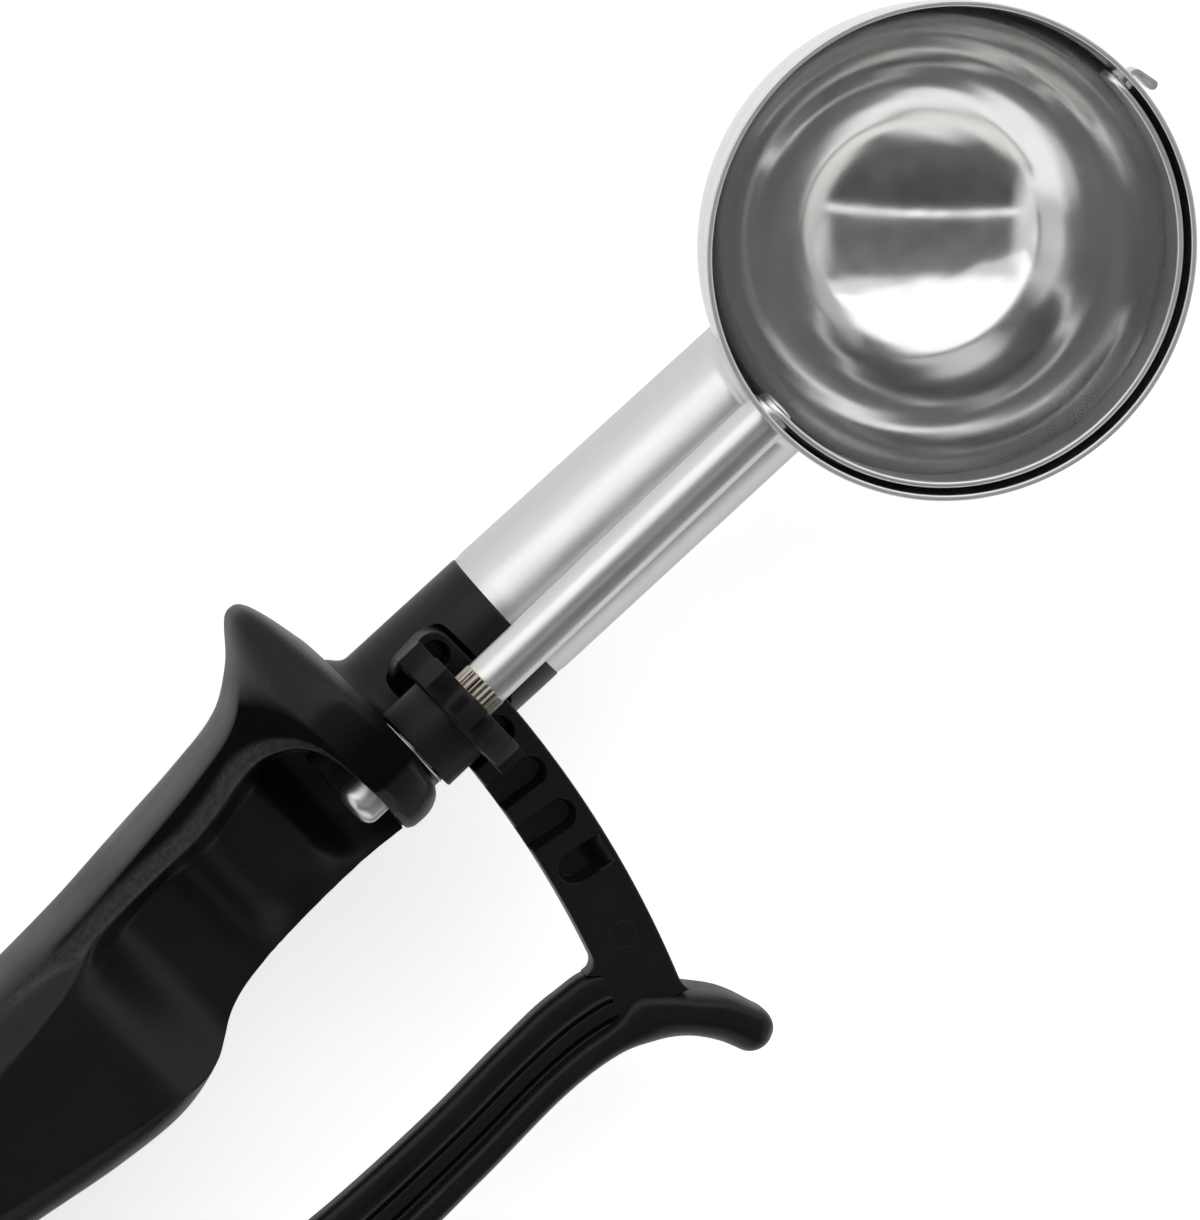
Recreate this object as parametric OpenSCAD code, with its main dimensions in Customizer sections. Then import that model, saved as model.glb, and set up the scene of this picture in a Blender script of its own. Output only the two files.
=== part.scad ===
// Lever ice cream scoop: steel bowl and neck, geared sweep blade, moulded handle and squeeze lever.
// X runs along the shaft to the bowl, Z up out of the bowl's mouth; Z = 0 is the table it lies on.

/* [Bowl] */
// Outside diameter of the bowl
bowl_d = 50.8; // [46:0.2:58]
// Thickness of the bowl's sheet
bowl_wall = 0.65; // [0.5:0.05:1.2]
// Height of the straight lip above the blade's axis
lip_h = 3.5; // [3:0.1:6]
// Distance from the lever's pivot to the bowl's centre
bowl_reach = 174.8; // [168:0.2:190]

/* [Neck] */
// Outside diameter of the steel neck where it meets the handle
neck_back_d = 15.6; // [14:0.1:17]
// Outside diameter of the steel neck at the bowl
neck_front_d = 15.2; // [13:0.1:16.5]
// Wall of the neck tube
neck_wall = 1.0; // [0.6:0.1:1.6]
// Drop of the neck's axis below the shaft at the rack
neck_drop = 14.8; // [14.3:0.1:15.6]
// Upward slope of the neck towards the bowl, in degrees
neck_slope = 4.2; // [2:0.1:5]
// Length of the handle's sleeve that stands out in front of the rack
sleeve_show = 5.9; // [4:0.1:9]
// Length of the handle's spigot inside the neck tube
spigot_len = 18; // [10:1:24]
// Radial clearance of the spigot in the tube
spigot_fit = 0.05; // [0.02:0.01:0.2]
// Gap filled by the weld between neck and bowl
weld_gap = 0.02; // [0.02:0.01:0.1]

/* [Shaft] */
// Diameter of the blade shaft
shaft_d = 5.0; // [4:0.1:5.6]
// Diameter of the shaft's journal in the handle
journal_d = 4.8; // [3.6:0.1:4.9]
// Diameter over the splines that hold the pinion
spline_d = 5.2; // [5.2:0.05:5.8]
// Number of splines round the shaft
splines = 32; // [16:1:40]
// Depth of each spline
spline_depth = 0.22; // [0.1:0.02:0.3]
// Length of splined shaft that stands out in front of the pinion
spline_show = 2.0; // [1:0.1:5]
// Length of the journal that stands out behind its bearing
journal_tail = 2.6; // [1.6:0.1:4]
// Rounding of the journal's end
journal_round = 1.3; // [0.4:0.1:1.6]
// Radial running clearance of the shaft in its bores
shaft_fit = 0.05; // [0.03:0.01:0.1]
// Radial clearance of pressed and riveted fits
press_fit = 0.02; // [0.01:0.01:0.04]
// Depth in the pinion's hub at which the splines start
spline_inset = 1.0; // [0.6:0.1:2]

/* [Blade] */
// Width of the sweep blade
blade_w = 5.4; // [4:0.1:6]
// Thickness of the blade
blade_t = 0.6; // [0.4:0.05:1]
// Clearance between the blade's corners and the bowl
blade_gap = 0.6; // [0.4:0.05:0.9]
// Distance of the rounded ends' middle past the shaft's axis, on the blade's side
blade_end = 0.7; // [0.5:0.1:1]
// Diameter of the shaft's riveted stem in the blade
rivet_d = 3.0; // [2:0.1:3.6]
// Diameter of the riveted head inside the bowl
rivet_head_d = 3.8; // [3.4:0.1:3.9]
// Height of the riveted head
rivet_head_h = 0.4; // [0.3:0.1:0.8]
// Gap between the head's rim and the curved blade
rivet_seat = 0.12; // [0.1:0.01:0.2]
// Width of the blade's tail where it passes through the bowl
tail_w = 2.2; // [1.6:0.1:2.6]
// Radius of the hem at the tail's end
hem_r = 0.65; // [0.55:0.05:0.9]
// Length of the tail's bend from the shaft's axis to its hem
hem_reach = 2.3; // [1.8:0.1:3]
// Width of the slit inside the hem
hem_slit = 0.16; // [0.1:0.02:0.3]
// Clearance between the bent tail and the bowl
hook_gap = 0.4; // [0.3:0.05:0.8]
// Radial clearance of the tail in its hole
tail_fit = 0.1; // [0.06:0.01:0.2]

/* [Pinion and rack] */
// Teeth of the pinion
teeth = 8; // [8:1:8]
// Pitch radius of the pinion
pitch_r = 6.8; // [6.6:0.05:7]
// Height of the pinion's teeth above the pitch circle
addendum = 1.1; // [0.9:0.05:1.15]
// Depth of the pinion's teeth below the pitch circle
dedendum = 1.35; // [1.2:0.05:1.6]
// Width of a pinion tooth at the pitch circle
tooth_w = 2.2; // [1.8:0.05:2.3]
// Width of a pinion tooth at its tip
tooth_tip_w = 1.7; // [1.2:0.05:1.8]
// Thickness of the pinion's toothed disc
pinion_t = 3.0; // [2:0.1:3.6]
// Diameter of the pinion's hub
hub_d = 9.7; // [8:0.1:10.5]
// Length of the pinion's hub
hub_len = 4.7; // [4:0.1:5]
// Distance from the lever's pivot to the middle of the pinion
rack_r = 107.8; // [107:0.1:109]
// Distance from the middle of the pinion to the rack's inner edge
rack_inset = 2.9; // [2.4:0.1:3.4]
// Radial width of the rack
rack_w = 7.2; // [6:0.1:7.6]
// Height of the rack's teeth above the pitch line
rack_addendum = 0.95; // [0.7:0.05:1]
// Gap between the pinion's tips and the floor of the rack
tip_gap = 0.25; // [0.2:0.05:0.3]
// Thickness of the rack's floor
rack_floor = 0.9; // [0.7:0.05:1]
// Width of a rack slot at its mouth
slot_w = 3.3; // [3.2:0.05:3.6]
// Width of a rack slot at its floor
slot_floor_w = 2.5; // [2.4:0.05:2.7]
// Angle of the engaged tooth at rest, in degrees
tooth_phase = 5; // [4:0.5:6]
// Wall at the blind ends of the slots
slot_wall = 0.9; // [0.7:0.1:1.4]
// Wall between the last slot and the rack's inner edge
stop_wall = 0.7; // [0.7:0.1:1]
// Width of the recess at the rack's free end
recess_w = 3.1; // [2.4:0.1:3.2]
// Wall round that recess
recess_wall = 0.75; // [0.6:0.05:0.9]
// Length of rack past the shaft at rest
rack_lead = 6.4; // [6:0.1:7]
// Radius of the rack's free corners
rack_corner = 2.0; // [1:0.1:2.4]

/* [Thrust washer] */
// Outside diameter of the thrust washer
washer_d = 9.0; // [7:0.1:10]
// Thickness of the thrust washer
washer_t = 0.4; // [0.3:0.05:0.6]
// Radial clearance of the washer on the journal
washer_fit = 0.1; // [0.05:0.01:0.2]
// End play at each face of the washer
end_play = 0.05; // [0.03:0.01:0.15]

/* [Handle] */
// Width of the grip at its palm swell
grip_w = 22.8; // [20:0.1:26]
// Thickness of the wall that carries the shaft
bearing_t = 5.7; // [5:0.1:6.4]
// Height of the handle above the shaft's axis at that wall
head_rise = 6.0; // [5:0.1:8]
// Roundness of the handle's section, 2 for an ellipse and more for squarer
section_power = 2.6; // [2.4:0.1:3.2]
// Width of the slope between the grip and its recess
recess_ramp = 2.6; // [2:0.1:4]
// Reach of the thumb horn from the shaft's axis
horn_reach = 21.4; // [18:0.1:24]
// Share of its height that the horn loses at its tip
horn_taper = 0.42; // [0.2:0.02:0.5]
// Clearance of the handle and neck round the rack
rack_gap = 0.35; // [0.3:0.05:0.5]
// Clearance of the handle beside the rack
rack_side_gap = 0.6; // [0.4:0.05:0.8]

/* [Lever] */
// Height of the lever's finger flange and of its eye
lever_h = 14; // [11:0.5:15]
// Height of the lever's curled tip
tip_h = 7.4; // [5:0.2:9]
// Height of the flange's top above the rack
lever_rise = 0.85; // [0.5:0.05:1.5]
// Step down from the flange's top to the inner rail
rail_step = 1.0; // [0.9:0.1:1.6]
// Step down from the flange's top to the strip between rail and flange
groove_step = 1.5; // [1.1:0.1:2]
// Radius of the lever's eye
eye_r = 6.5; // [5.6:0.1:7]
// Height of each knuckle of the eye
knuckle_h = 3.0; // [2.4:0.1:3.4]
// Radius of the spring's chamber in the eye
chamber_r = 5.0; // [4.6:0.1:5.2]
// Clearance of the lever in the handle's fork
fork_gap = 0.4; // [0.3:0.05:0.6]
// Radial clearance of the eye in the fork
eye_gap = 1.0; // [0.6:0.1:1.4]

/* [Pivot] */
// Diameter of the pivot pin
pin_d = 4.0; // [3:0.1:4.4]
// Radial clearance of the lever on the pin
pin_fit = 0.06; // [0.03:0.01:0.1]
// Diameter of the pin's head
pin_head_d = 7.0; // [6:0.1:8]
// Height of the pin's head
pin_head_h = 1.4; // [1:0.1:2]
// Bevel round the pin's head
pin_head_bevel = 0.8; // [0.4:0.1:1.2]
// Height of the pin's lower end above the handle's underside
pin_rise = 0.4; // [0.2:0.1:1]
// Depth of the pin's seats below the handle's faces
pin_seat = 2.2; // [1.8:0.1:3]
// Diameter of the retaining clip
clip_d = 8.0; // [7:0.1:9]
// Thickness of the retaining clip
clip_t = 0.5; // [0.4:0.1:0.8]
// Clearance round the head and the clip in their seats
seat_fit = 0.3; // [0.2:0.05:0.5]

/* [Return spring] */
// Wire of the torsion spring
wire_d = 1.3; // [1:0.05:1.4]
// Turns of the coil
coil_turns = 4.5; // [4.5:1:4.5]
// Gap between the pin and the coil
coil_fit = 0.5; // [0.3:0.05:0.8]
// Clearance round the legs in their seats
leg_fit = 0.15; // [0.05:0.05:0.3]
// Length of the leg that lies in the handle
fixed_leg = 12; // [8:0.5:14]
// Length of the leg that lies in the lever
moving_leg = 13; // [9:0.5:15]

/* [Hidden] */
$fn = 96;

bowl_r = bowl_d / 2;
axis_z = bowl_r;
pivot_x = -62;
bowl_x = pivot_x + bowl_reach;
pinion_x = pivot_x + rack_r;
inside_r = bowl_r - bowl_wall;
blade_r = sqrt(pow(inside_r - blade_gap, 2) - pow(blade_w / 2, 2));

tip_r = pitch_r + addendum;
root_r = pitch_r - dedendum;
pitch = 360 / teeth;
tooth_pitch = 2 * PI * pitch_r / teeth;
hub_back = pinion_x - pinion_t / 2 - hub_len;
bearing_x = hub_back - washer_t - 2 * end_play;
bearing_back = bearing_x - bearing_t;

rack_top = axis_z - pitch_r + rack_addendum;
slot_floor_z = axis_z - tip_r - tip_gap;
rack_low = slot_floor_z - rack_floor;
rack_in = rack_r - rack_inset;
rack_out = rack_in + rack_w;
neck_joint = rack_out + sleeve_show;
// A slot for each tooth that passes in half a turn of the blade, and one more
slots = teeth / 2 + 1;
// Angle at which the rack runs out into the lever
rack_root = -20.6;

lever_top = rack_top + lever_rise;
lever_low = lever_top - lever_h;
coil_r = pin_d / 2 + coil_fit + wire_d / 2;
coil_pitch = wire_d + 0.06;
coil_z = (lever_low + lever_top) / 2 - coil_turns * coil_pitch / 2;
spring_start = 90;
spring_steps = 22;
wire_sides = 8;
// Direction of the lever's bar at the eye, from the pivot
lever_angle = -52;

// Sizes for which the curves below are drawn, and the scales from them to this scoop
plan_rack_r = 107.8;
plan_axis = 25.4;
plan_grip_w = 22.8;
plan_end = 101.2;
reach_scale = (bearing_x - pivot_x) / plan_end;
width_scale = grip_w / plan_grip_w;
height_scale = axis_z / plan_axis;
lever_scale = rack_r / plan_rack_r;
horn_y = horn_reach / width_scale;
head_z = (axis_z + head_rise) / height_scale;
wall_x = (bearing_back - pivot_x) / reach_scale;

// Plan of the handle from the pivot: its open edge, its back and the edge of its recess
open_edge = [[-12, 0.5], [-11.2, -3.4], [-9, -5.8], [-4, -7.4], [8, -7.5], [20, -7.6], [32, -8.9],
             [43, -10.8], [52, -12.3], [60, -12.8], [66, -11.3], [71, -8.3], [76, -7.2], [82, -6.1],
             [90, -6.6], [96, -7.1], [99.4, -7], [plan_end, -5.7]];
back_edge = [[-12, 4.0], [-11.2, 6.4], [-9, 8.2], [-4, 9.4], [8, 9.9], [40, 9.8], [64, 10.4],
             [76, 11.4], [84, 12.4], [90, 13.9], [94, 17.2], [97, horn_y - 0.4], [98.4, horn_y],
             [99.4, horn_y - 0.9], [100.3, horn_y - 3.6], [plan_end, horn_y - 7.9]];
recess_edge = [[-12, 5], [20, 7.2], [52, 8.2], [61, 7.2], [66, 7.6], [76, 8.3], [81, 8.2], [87.6, 9.2],
               [91.7, 8.7], [94.2, 7.2], [wall_x, 4.4]];
// Heights along the handle: its crown, its underside and the floor of the recess
crown = [[-12, 19], [-10.5, 22.5], [-7, 25], [0, 26.4], [20, 27.4], [45, 28.4], [70, 29.4], [90, 30.6],
         [96, head_z], [99.8, head_z], [plan_end, head_z - 1]];
underside = [[-12, 6], [-10.5, 2.8], [-7, 0.8], [-2, -1], [8, -1.6], [62, -1.6], [76, -1.2], [86, 0.2],
             [95, 1.8], [plan_end, 3.4]];
recess_floor = [[-12, 26], [40, 26.0], [58, 25.4], [62, 24.2], [67.5, 18.8], [72, 17.6], [76.5, 17.8],
                [80, 20.2], [82, 20.9], [87.5, 20.6], [89.5, 18.6], [91, 17.4], [plan_end, 17.2]];
// Where the horn's taper starts on the back
horn_root = 10;
// Plan of the lever from the pivot: pairs of points on its inner and outer edges
lever_inner = [[5.4, -1.4], [14, -10.4], [24, -17.6], [36, -24.2], [49, -28.6], [63, -30.2], [77, -30.6],
               [88, -30.3], [95, -30.4], [100.4, -31.9], [105, -39.2], [108, -43.1], [109.5, -46.3]];
lever_outer = [[-1.2, -5.7], [8.5, -16.2], [19, -24.8], [32, -32.6], [47, -37.8], [63, -39.6], [77, -39.5],
               [88.7, -39.1], [95.7, -39.9], [99.5, -41.7], [102.2, -43.6], [104.1, -46.1], [105.2, -48.5]];
// Section of the lever from its inner edge round to the flange: share of the width and height
rail_z = lever_top - rail_step;
strip_z = lever_top - groove_step;
lever_section = [[0, rack_low], [0, rail_z - 0.9], [0.03, rail_z - 0.3], [0.1, rail_z], [0.32, rail_z],
                 [0.35, rail_z - 0.15], [0.37, strip_z - 0.3], [0.4, strip_z], [0.52, strip_z],
                 [0.56, strip_z - 0.3], [0.6, lever_top - 0.5], [0.66, lever_top], [0.8, lever_top - 0.1],
                 [0.91, lever_top - 0.8], [0.98, lever_top - 2], [1, lever_top - 3.8], [1, lever_low + 2.5],
                 [0.96, lever_low + 0.8], [0.86, lever_low], [0.7, lever_low], [0.6, lever_low + 0.8],
                 [0.56, lever_low + 2.5], [0.56, rack_low - 1], [0.5, rack_low]];

// Direction of the slit from the middle of the hem
hem_turn = 125;
fork_top = curve(crown, 0) * height_scale;
fork_base = 0;

// Height of a smooth curve through points p at x
function slope(p, i) =
    let (a = max(i - 1, 0), b = min(i + 1, len(p) - 1)) (p[b][1] - p[a][1]) / (p[b][0] - p[a][0]);
function piece(p, x) = max([for (i = [0 : len(p) - 2]) p[i][0] <= x ? i : 0]);
function curve(p, x) =
    let (i = piece(p, x), h = p[i + 1][0] - p[i][0],
         t = min(1, max(0, (x - p[i][0]) / h)), s = t * t, c = s * t)
    (2 * c - 3 * s + 1) * p[i][1] + (c - 2 * s + t) * h * slope(p, i)
    + (3 * s - 2 * c) * p[i + 1][1] + (c - s) * h * slope(p, i + 1);
function ease(t) = let (u = min(1, max(0, t))) u * u * (3 - 2 * u);
function mix(a, b, t) = a + (b - a) * t;
function bend(v, power) = sign(v) * pow(abs(v), 2 / power);
// Point on a smooth path through points p at parameter t
function path_slope(p, i) = (p[min(i + 1, len(p) - 1)] - p[max(i - 1, 0)]) / 2;
function along(p, t) =
    let (i = min(floor(t), len(p) - 2), u = t - i, s = u * u, c = s * u)
    (2 * c - 3 * s + 1) * p[i] + (c - 2 * s + u) * path_slope(p, i)
    + (3 * s - 2 * c) * p[i + 1] + (c - s) * path_slope(p, i + 1);

module at_pivot() translate([pivot_x, 0, 0]) children();
// Turns a shape built along +Z so that it runs along +X
module along_x(x, z = axis_z) translate([x, 0, z]) rotate([0, 90, 0]) children();
// Moves a shape built along +X from the pivot's distance into the sloping neck
module in_neck(reach) {
    translate([pivot_x + rack_r, 0, axis_z - neck_drop])
        rotate([0, -neck_slope, 0])
            translate([reach - rack_r, 0, 0])
                rotate([0, 90, 0]) children();
}

// ---- bowl and neck ----
module bowl() {
    color("#c9ccce")
    difference() {
        translate([bowl_x, 0, axis_z])
            rotate_extrude($fn = 180) bowl_profile();
        along_x(bowl_x - bowl_r - 1) cylinder(h = bowl_r, d = shaft_d + 2 * shaft_fit);
        along_x(bowl_x + 1) cylinder(h = bowl_r, r = norm([tail_w, blade_t]) / 2 + tail_fit);
    }
}
module bowl_profile() {
    difference() {
        union() {
            circle(r = bowl_r, $fn = 180);
            square([bowl_r, lip_h]);
        }
        circle(r = inside_r, $fn = 180);
        square([inside_r, lip_h + 1]);
        translate([-bowl_d, -bowl_d]) square([bowl_d, 2 * bowl_d]);
        translate([0, lip_h]) square(bowl_d);
    }
}
module neck_tube() {
    neck_len = bowl_reach - neck_joint;
    color("#d2d5d7")
    difference() {
        in_neck(neck_joint) cylinder(h = neck_len, d1 = neck_back_d, d2 = neck_front_d);
        in_neck(neck_joint - 1)
            cylinder(h = neck_len + 2, d1 = neck_back_d - 2 * neck_wall, d2 = neck_front_d - 2 * neck_wall);
        translate([bowl_x, 0, axis_z]) sphere(r = bowl_r + weld_gap, $fn = 180);
    }
}

// ---- blade ----
module scraper_blade() {
    color("#c2c5c8")
    translate([bowl_x, 0, axis_z])
    difference() {
        union() {
            blade_strip();
            blade_tail();
        }
        translate([-bowl_r, 0, 0]) rotate([0, 90, 0]) cylinder(h = bowl_r / 2, d = rivet_d + 2 * press_fit);
    }
}
module blade_strip() {
    intersection() {
        difference() {
            cylinder(h = blade_w, r = blade_r, center = true, $fn = 180);
            cylinder(h = blade_w + 2, r = blade_r - blade_t, center = true, $fn = 180);
        }
        translate([0, -blade_end, 0]) {
            translate([-bowl_r, -bowl_r, -blade_w]) cube([bowl_d, bowl_r, 2 * blade_w]);
            rotate([0, 90, 0]) cylinder(h = bowl_d, d = blade_w, center = true);
        }
    }
}
// Tongue that passes through the bowl's far side, turned down along the bowl and hemmed
module blade_tail() {
    hook_x = bowl_r + hook_gap + blade_t / 2;
    hem = [sqrt(pow(bowl_r + hook_gap + hem_r, 2) - pow(hem_reach, 2)), -hem_reach];
    translate([0, 0, -tail_w / 2])
    linear_extrude(tail_w) {
        translate([blade_r - blade_t / 2, -blade_t / 2]) square([hook_x - blade_r + blade_t / 2, blade_t]);
        difference() {
            hull() {
                translate([hook_x, 0]) circle(d = blade_t);
                translate(hem) circle(r = hem_r);
            }
            translate(hem) rotate(hem_turn) translate([0, -hem_slit / 2]) square([2 * hem_r, hem_slit]);
        }
    }
}
module blade_shaft() {
    end_x = bearing_back - journal_tail;
    stem_x = bowl_x - blade_r;
    knurl_x = pinion_x + pinion_t / 2 + spline_show;
    color("#d8d6d0")
    union() {
        along_x(end_x) journal(hub_back + spline_inset + 0.5 - end_x);
        along_x(hub_back + spline_inset) splined_length(knurl_x - hub_back - spline_inset);
        along_x(knurl_x) cylinder(h = stem_x - knurl_x, d = shaft_d);
        along_x(stem_x - 1) cylinder(h = blade_t + rivet_head_h + 1, d = rivet_d);
        along_x(stem_x + blade_t + rivet_seat) cylinder(h = rivet_head_h, d1 = rivet_head_d, d2 = rivet_d);
    }
}
module journal(length) {
    rotate_extrude() {
        translate([0, journal_round]) square([journal_d / 2, length - journal_round]);
        square([journal_d / 2 - journal_round, length]);
        intersection() {
            translate([journal_d / 2 - journal_round, journal_round]) circle(r = journal_round);
            square([journal_d, journal_d]);
        }
    }
}
module splined_length(length) {
    ridge = spline_d / 2;
    linear_extrude(length)
        polygon([for (i = [0 : 2 * splines - 1])
                    let (a = i * 180 / splines, r = ridge - (i % 2) * spline_depth)
                    [r * cos(a), r * sin(a)]]);
}

// ---- pinion and washer ----
module pinion() {
    color("#1d1d1f")
    difference() {
        union() {
            along_x(pinion_x - pinion_t / 2) linear_extrude(pinion_t) pinion_outline();
            along_x(hub_back) cylinder(h = hub_len + pinion_t / 2, d = hub_d);
        }
        along_x(hub_back - 1) cylinder(h = hub_len + pinion_t + 2, d = spline_d + 2 * press_fit);
    }
}
module pinion_outline() {
    circle(r = root_r);
    for (i = [0 : teeth - 1])
        rotate(i * pitch - tooth_phase)
            intersection() {
                polygon([[0, -tooth_w / 2], [pitch_r, -tooth_w / 2],
                         [tip_r, -tooth_tip_w / 2], [tip_r + 1, -tooth_tip_w / 2],
                         [tip_r + 1, tooth_tip_w / 2], [tip_r, tooth_tip_w / 2],
                         [pitch_r, tooth_w / 2], [0, tooth_w / 2]]);
                circle(r = tip_r);
            }
}
module thrust_washer() {
    color("#d9dadb")
    along_x(bearing_x + end_play)
        difference() {
            cylinder(h = washer_t, d = washer_d);
            translate([0, 0, -1]) cylinder(h = washer_t + 2, d = journal_d + 2 * washer_fit);
        }
}

// ---- handle ----
// One ring of the moulded grip: a rounded section whose upper face drops into the recess
coarse_from = -3;
coarse_step = 4;
fine_from = 60;
fine_step = 2;
stations = concat([-12, -11.6, -10.8, -9.6, -8, -6], [for (x = [coarse_from : coarse_step : fine_from - 1]) x],
                  [for (x = [fine_from : fine_step : 88]) x],
                  [89.5, 91, 92.5, 93.8, 94.8, wall_x - 0.1, wall_x + 0.2, 96.6, 97.6, 98.4, 99, 99.6,
                   100.3, 100.9, plan_end]);
ring_points = 52;
function section(x) =
    let (low = curve(open_edge, x), high = curve(back_edge, x),
         mid = (low + high) / 2, half = (high - low) / 2,
         top = curve(crown, x), base = curve(underside, x),
         centre = (top + base) / 2, rise = (top - base) / 2)
    [for (j = [0 : ring_points - 1])
        let (a = 360 * j / ring_points, y = mid + half * bend(cos(a), section_power),
             lift = rise * bend(sin(a), section_power),
             horn = 1 - horn_taper * ease((y - horn_root) / (horn_y - horn_root)), z = centre + lift * horn)
        [x * reach_scale, y * width_scale,
         max(0, (sin(a) > 0 && x < wall_x ? recessed(x, y, z) : z) * height_scale)]];
function recessed(x, y, z) =
    mix(z, min(z, curve(recess_floor, x)),
        ease((curve(recess_edge, x) - y) * width_scale / recess_ramp));
// Skin over rings of points, with a flat cap at each end
module skin(rings) {
    n = len(rings[0]);
    last = len(rings) - 1;
    sides = [for (i = [0 : last - 1], j = [0 : n - 1])
                let (a = i * n + j, b = i * n + (j + 1) % n, c = a + n, d = b + n)
                each [[a, d, b], [a, c, d]]];
    near_cap = [for (j = [0 : n - 1]) j];
    far_cap = [for (j = [n - 1 : -1 : 0]) last * n + j];
    polyhedron(points = [for (r = rings) each r], faces = concat([near_cap], sides, [far_cap]),
               convexity = 6);
}
module grip() skin([for (x = stations) section(x)]);
module handle() {
    color("#1b1b1d")
    difference() {
        union() {
            at_pivot() grip();
            in_neck(bearing_back - pivot_x) cylinder(h = neck_joint - bearing_back + pivot_x, d = neck_back_d);
            in_neck(neck_joint - 1)
                cylinder(h = spigot_len + 1, d = neck_front_d - 2 * neck_wall - 2 * spigot_fit);
        }
        along_x(bearing_back - 4) cylinder(h = bearing_t + 8, d = journal_d + 2 * shaft_fit);
        at_pivot() rack_way();
        at_pivot() fork_way();
        at_pivot() pin_ways();
        at_pivot() leg_seat();
    }
}
// Room over the neck for the rack to swing through
module rack_way() {
    translate([0, 0, rack_low - rack_gap])
        difference() {
            cylinder(h = 2 * lever_h, r = rack_out + rack_side_gap, $fn = 360);
            translate([0, 0, -1]) cylinder(h = 2 * lever_h + 2, r = rack_in - rack_side_gap, $fn = 360);
        }
}
// Slot for the lever's eye, open on the lever's side
module fork_way() {
    behind = 20;
    ahead = 16;
    translate([0, 0, lever_low - fork_gap])
        linear_extrude(lever_h + 2 * fork_gap) {
            circle(r = eye_r + eye_gap);
            translate([-behind, -grip_w]) square([behind + ahead, grip_w]);
        }
}
module pin_ways() {
    cylinder(h = fork_top + 2, d = pin_d + 2 * press_fit);
    translate([0, 0, fork_top - pin_seat]) cylinder(h = pin_seat + 4, d = pin_head_d + 2 * seat_fit);
    translate([0, 0, fork_base - 1]) cylinder(h = pin_seat + 1, d = clip_d + 2 * seat_fit);
}

// Blind hole in the fork's root that holds the spring's fixed leg
module leg_seat() {
    start = coil_point(0);
    translate(start) rotate([0, 90, 0]) cylinder(h = fixed_leg + leg_fit, d = wire_d + 2 * leg_fit);
}

// ---- pivot ----
module pivot_pin() {
    color("#cfd1d3")
    at_pivot() {
        translate([0, 0, fork_base + pin_rise]) cylinder(h = fork_top - pin_seat - fork_base, d = pin_d);
        translate([0, 0, fork_top - pin_seat])
            cylinder(h = pin_head_h, d1 = pin_head_d, d2 = pin_head_d - 2 * pin_head_bevel);
    }
}
module pivot_clip() {
    color("#b9bcbf")
    at_pivot() translate([0, 0, fork_base + pin_seat - clip_t])
        difference() {
            cylinder(h = clip_t, d = clip_d);
            translate([0, 0, -1]) cylinder(h = clip_t + 2, d = pin_d + 2 * press_fit);
        }
}
// Wire of the spring: a coil about the pin with one leg in the handle and one along the lever
function coil_point(t) = [coil_r * cos(spring_start + 360 * t), coil_r * sin(spring_start + 360 * t),
                          coil_z + coil_pitch * t];
wire_path = concat(
    [coil_point(0) + [fixed_leg, 0, 0]],
    [for (i = [0 : spring_steps * coil_turns]) coil_point(i / spring_steps)],
    [coil_point(coil_turns) + moving_leg * [cos(lever_angle), sin(lever_angle), 0]]);
module return_spring() {
    color("#a9abad")
    at_pivot() sweep_wire(wire_path, wire_d / 2, wire_sides);
}
module sweep_wire(path, r, sides) {
    last = len(path) - 1;
    skin([for (i = [0 : last])
        let (ahead = path[min(i + 1, last)] - path[max(i - 1, 0)], dir = ahead / norm(ahead),
             side = cross(dir, [0, 0, 1]) / norm(cross(dir, [0, 0, 1])), up = cross(side, dir))
        [for (j = [0 : sides - 1]) let (a = -360 * j / sides) path[i] + r * (cos(a) * side + sin(a) * up)]]);
}

// ---- lever ----
lever_steps = 5;
// Steps of the path where the section turns into the curled end, and where its height starts to fall
curl_start = 8;
curl_run = 2;
curl_power = 3;
// Turn from each ring of the rounded tip to the next, and the share of the tip's height that stays
tip_turn = 18;
tip_share = 0.6;
// Direction of the section's first point in the curled end
first_turn = 200;
function edge_point(t, f) = mix(along(lever_inner, t), along(lever_outer, t), f) * lever_scale;
function reversed(p) = [for (i = [len(p) - 1 : -1 : 0]) p[i]];
// Ring of the lever at t along the path; round the tip it shrinks and moves ahead by angle a
function lever_ring(t, a = 0) =
    let (half = (edge_point(t, 1) - edge_point(t, 0)) / 2, n = len(lever_section),
         m = ease((t - curl_start) / curl_run),
         centre = edge_point(t, 0.5) + sin(a) * [-half[1], half[0]],
         rise = mix(lever_h, tip_h, ease((t - curl_start) / (2 * curl_run))) / 2)
    [for (j = [0 : n - 1])
        let (b = first_turn - 360 * j / n,
             f = mix(2 * lever_section[j][0] - 1, cos(a) * bend(cos(b), curl_power), m),
             z = lever_top + rise * (mix(1, cos(a), tip_share) * bend(sin(b), curl_power) - 1),
             p = centre + f * half)
        [p[0], p[1], mix(lever_section[j][1], z, m)]];
module lever_bar() {
    last = len(lever_inner) - 1;
    skin(concat([for (k = [0 : last * lever_steps]) lever_ring(k / lever_steps)],
                [for (a = [tip_turn : tip_turn : 90 - tip_turn]) lever_ring(last, a)]));
}
module lever() {
    color("#1c1c1e")
    at_pivot()
    difference() {
        union() {
            lever_bar();
            translate([0, 0, lever_low]) cylinder(h = lever_h, r = eye_r);
            rack();
        }
        translate([0, 0, lever_low - 1]) cylinder(h = lever_h + 2, r = pin_d / 2 + pin_fit);
        translate([0, 0, lever_low + knuckle_h]) cylinder(h = lever_h - 2 * knuckle_h, r = chamber_r);
        leg_way();
        for (k = [0 : slots - 1]) rack_slot(k);
        end_recess();
    }
}
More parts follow.
